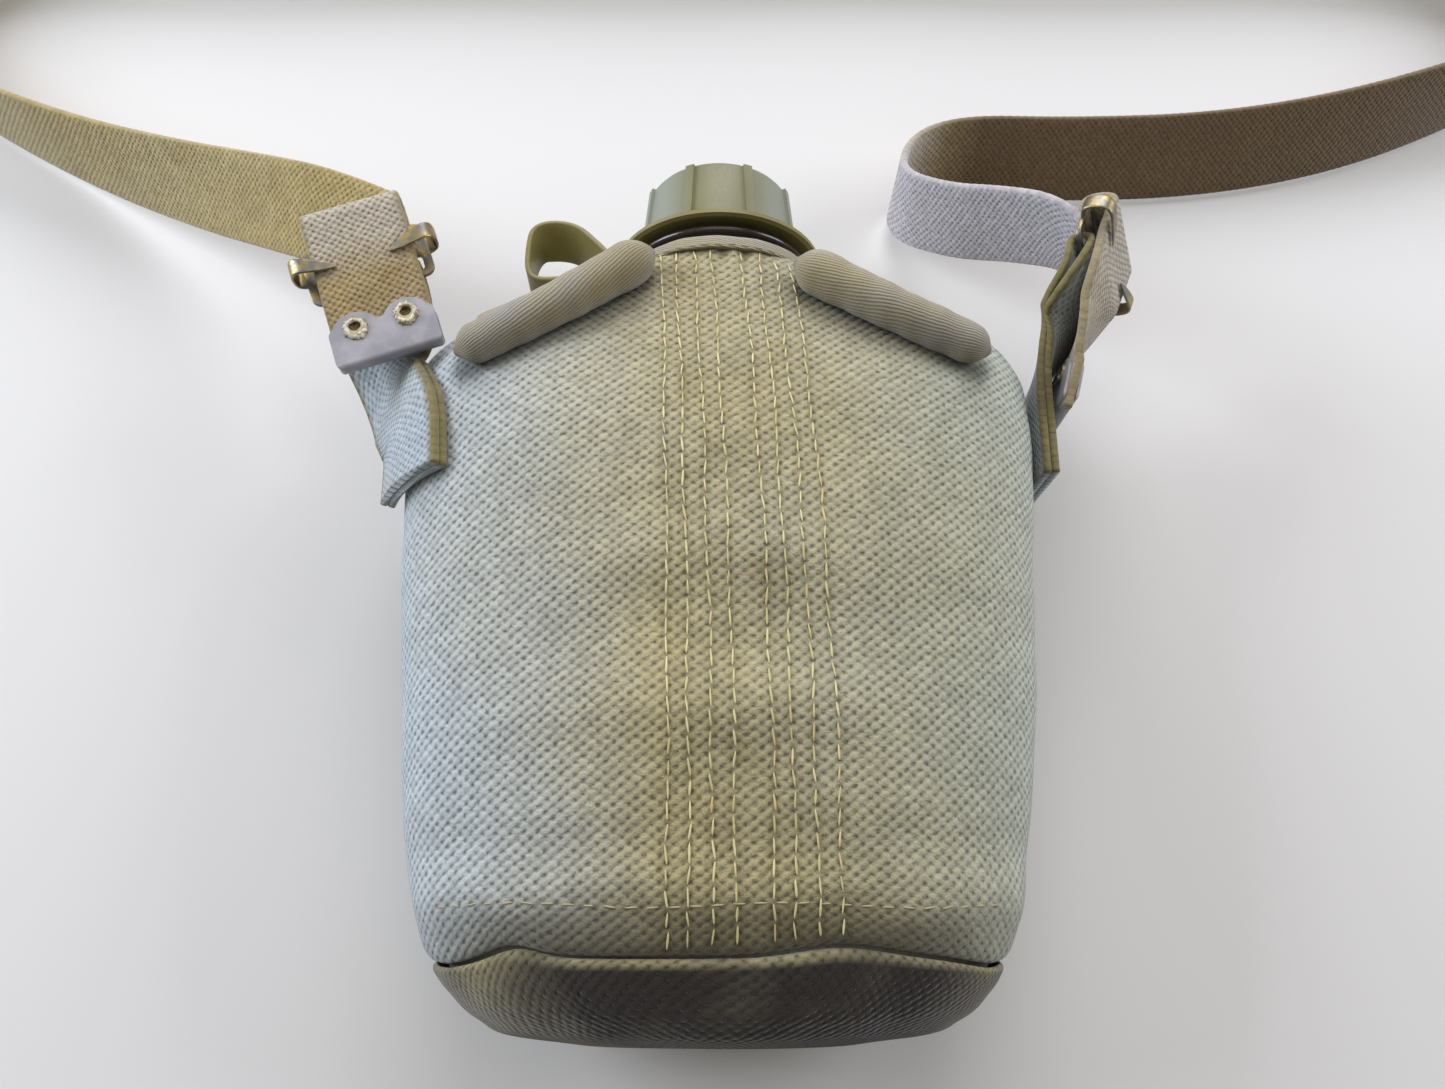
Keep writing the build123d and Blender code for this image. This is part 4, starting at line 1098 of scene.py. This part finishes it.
def frayed_rim(centre, out, seed):
    """A torn ring of whitish metal and thread lying on the face round an eyelet, in millimetres."""
    chance = np.random.default_rng(seed)
    out = unit(np.array(out, float))
    side = unit(np.cross(out, [0.0, 1.0, 0.0]))
    other = np.cross(out, side)
    count = 72
    turn = np.linspace(0, 2 * math.pi, count, endpoint=False)
    around = np.cos(turn)[:, None] * side + np.sin(turn)[:, None] * other
    ragged = chance.normal(0, 0.16, count)
    ragged += 0.5 * np.maximum(np.sin(turn * 2 + seed), 0) * chance.random(count)
    rows = []
    for reach, rise, rough in RIM_ROWS:
        lift = rise + chance.normal(0, 0.06, count) * (rise > 0)
        rows.append(np.array(centre) + around * (reach + ragged * rough)[:, None] + out * lift[:, None])
    rows.append(rows[0] - out * 0.6)
    grid = np.stack(rows + [rows[0]])
    return mesh_from_grid("rim", grid * MM, np.zeros(grid.shape[:2] + (2,)), loop=True)


def finish_node(node, material):
    """Gives a CAD node its finish."""
    for slot in bpy.data.objects[node].material_slots:
        slot.material = material


for side in ("left", "right"):
    finish_node(f"{side}_tip", enamel)
    finish_node(f"{side}_tip_eyelets", eyelet_metal)

EYELET_PLACES = {
    "left": ([LEFT.at(x, -20.8, 7.3) for x in (-6.7, 6.7)], LEFT.z),
    "right": ([(95.78, 64.0, 42.5 - x) for x in (-6.7, 6.7)], (0.962, -0.272, 0)),
}
for side, (places, out) in EYELET_PLACES.items():
    rims = [frayed_rim(place, out, seed) for seed, place in enumerate(places, 3)]
    mesh = joined(f"{side}_eyelet_rims", rims)
    mesh.shade_smooth()
    link_piece(f"{side}_eyelet_rims", mesh, frayed, f"{side}_tail_body")

# ---- Cap, its keeper and the bottle ----
# The cap and keeper are moulded in olive polyethylene with a soft satin shine. The keeper is a
# flared brim in the cap's groove, a looped band and a ring on the dark bottle's neck.


def moulded(name, hexes, roughness, side_sheen_colour=None):
    """Moulded plastic: an even colour with faint clouding, fine scuffs and a satin shine.

    The sides get a paler colour, a painted reflection of the windows at left and right."""
    material, tree, shader = new_material(name, roughness)
    where = add(tree, "ShaderNodeTexCoord").outputs["Object"]
    colour = two_tone(tree, where, 70.0, 3.0, (0.35, 0.65), hexes)
    if side_sheen_colour:
        # Painted reflection: paler towards the sides, which face the windows.
        side = add(tree, "ShaderNodeSeparateXYZ", {0: where}).outputs[0]
        side = add(tree, "ShaderNodeMath", {0: side}, operation="ABSOLUTE").outputs[0]
        side = add(tree, "ShaderNodeMapRange", {0: side, 1: 0.007, 2: 0.015, 3: 0.0, 4: 0.75}).outputs[0]
        colour = add(tree, "ShaderNodeMix", {0: side, 6: colour, 7: linear(side_sheen_colour)},
                     data_type="RGBA").outputs[2]
    tree.links.new(colour, shader.inputs["Base Color"])
    fine_scuffs(tree, shader, where, 1600.0, 4.0, (roughness - 0.05, roughness + 0.1), 0.00004, 0.6)
    return material


cap_plastic = moulded("olive_polyethylene", ("#6A663F", "#736F4A"), 0.48, side_sheen_colour="#868B7E")
keeper_plastic = moulded("dark_olive_polyethylene", ("#746A38", "#7F7643"), 0.42)
bottle_plastic = moulded("dark_brown_polyethylene", ("#2B241C", "#352C22"), 0.2)
rubber = moulded("black_rubber", ("#1E1E1C", "#2A2A28"), 0.7)
finish_node("cap_shell", cap_plastic)
finish_node("cap_gasket", rubber)
finish_node("keeper_cap_ring", keeper_plastic)
finish_node("bottle_shell", bottle_plastic)
felt, felt_tree, felt_shader = new_material("grey_wool_felt", 0.97, 0.1)
felt_place = add(felt_tree, "ShaderNodeTexCoord").outputs["Object"]
felt_fuzz = add(felt_tree, "ShaderNodeTexNoise",
                {"Vector": felt_place, "Scale": 900.0, "Detail": 5.0}).outputs[0]
felt_colour = add(felt_tree, "ShaderNodeMix", {0: felt_fuzz, 6: linear("#5B5A50"), 7: linear("#8C8A7C")},
                  data_type="RGBA").outputs[2]
felt_tree.links.new(felt_colour, felt_shader.inputs["Base Color"])
felt_bump = add(felt_tree, "ShaderNodeBump", {"Height": felt_fuzz, "Distance": 0.0005}).outputs[0]
felt_tree.links.new(felt_bump, felt_shader.inputs["Normal"])
finish_node("felt_lining", felt)

neck_ring_mesh = lathe("keeper_neck_ring_moulding", [
    (18.2, 99.6), (18.2, 101.8), (19.5, 102.1), (23.5, 102.1), (25.2, 101.9), (26.1, 101.4),
    (26.4, 100.7), (26.1, 100.0), (25.2, 99.6), (21.0, 99.4)], count=200)
neck_ring = link_piece("keeper_neck_ring_moulding", neck_ring_mesh, bottle_plastic, "root")
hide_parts("keeper_neck_ring")

BAND_WIDTH = 0.0125
BAND_THICK = 0.0015
BAND_ROUTE = ((-23.0, 100.75), (-28.0, 100.6), (-38.0, 99.2), (-50.0, 97.2), (-54.6, 99.0), (-54.2, 110.0),
              (-51.0, 114.6), (-42.0, 114.0), (-35.5, 108.5), (-31.0, 104.9), (-27.0, 104.4))
BAND_LEAN = (0, 0, 0, 0.05, 0.15, 0.4, 0.62, 0.62, 0.4, 0.1, 0)
band_stations = [((x, y, AXIS_Z), (0, lean, 1)) for (x, y), lean in zip(BAND_ROUTE, BAND_LEAN)]
band_mesh, _ = strip_mesh("keeper_band_strap", band_stations, 12, BAND_WIDTH, BAND_THICK, roundness=0.4)
band = link_piece("keeper_band_strap", band_mesh, keeper_plastic, None)
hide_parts("keeper_band")
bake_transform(band)
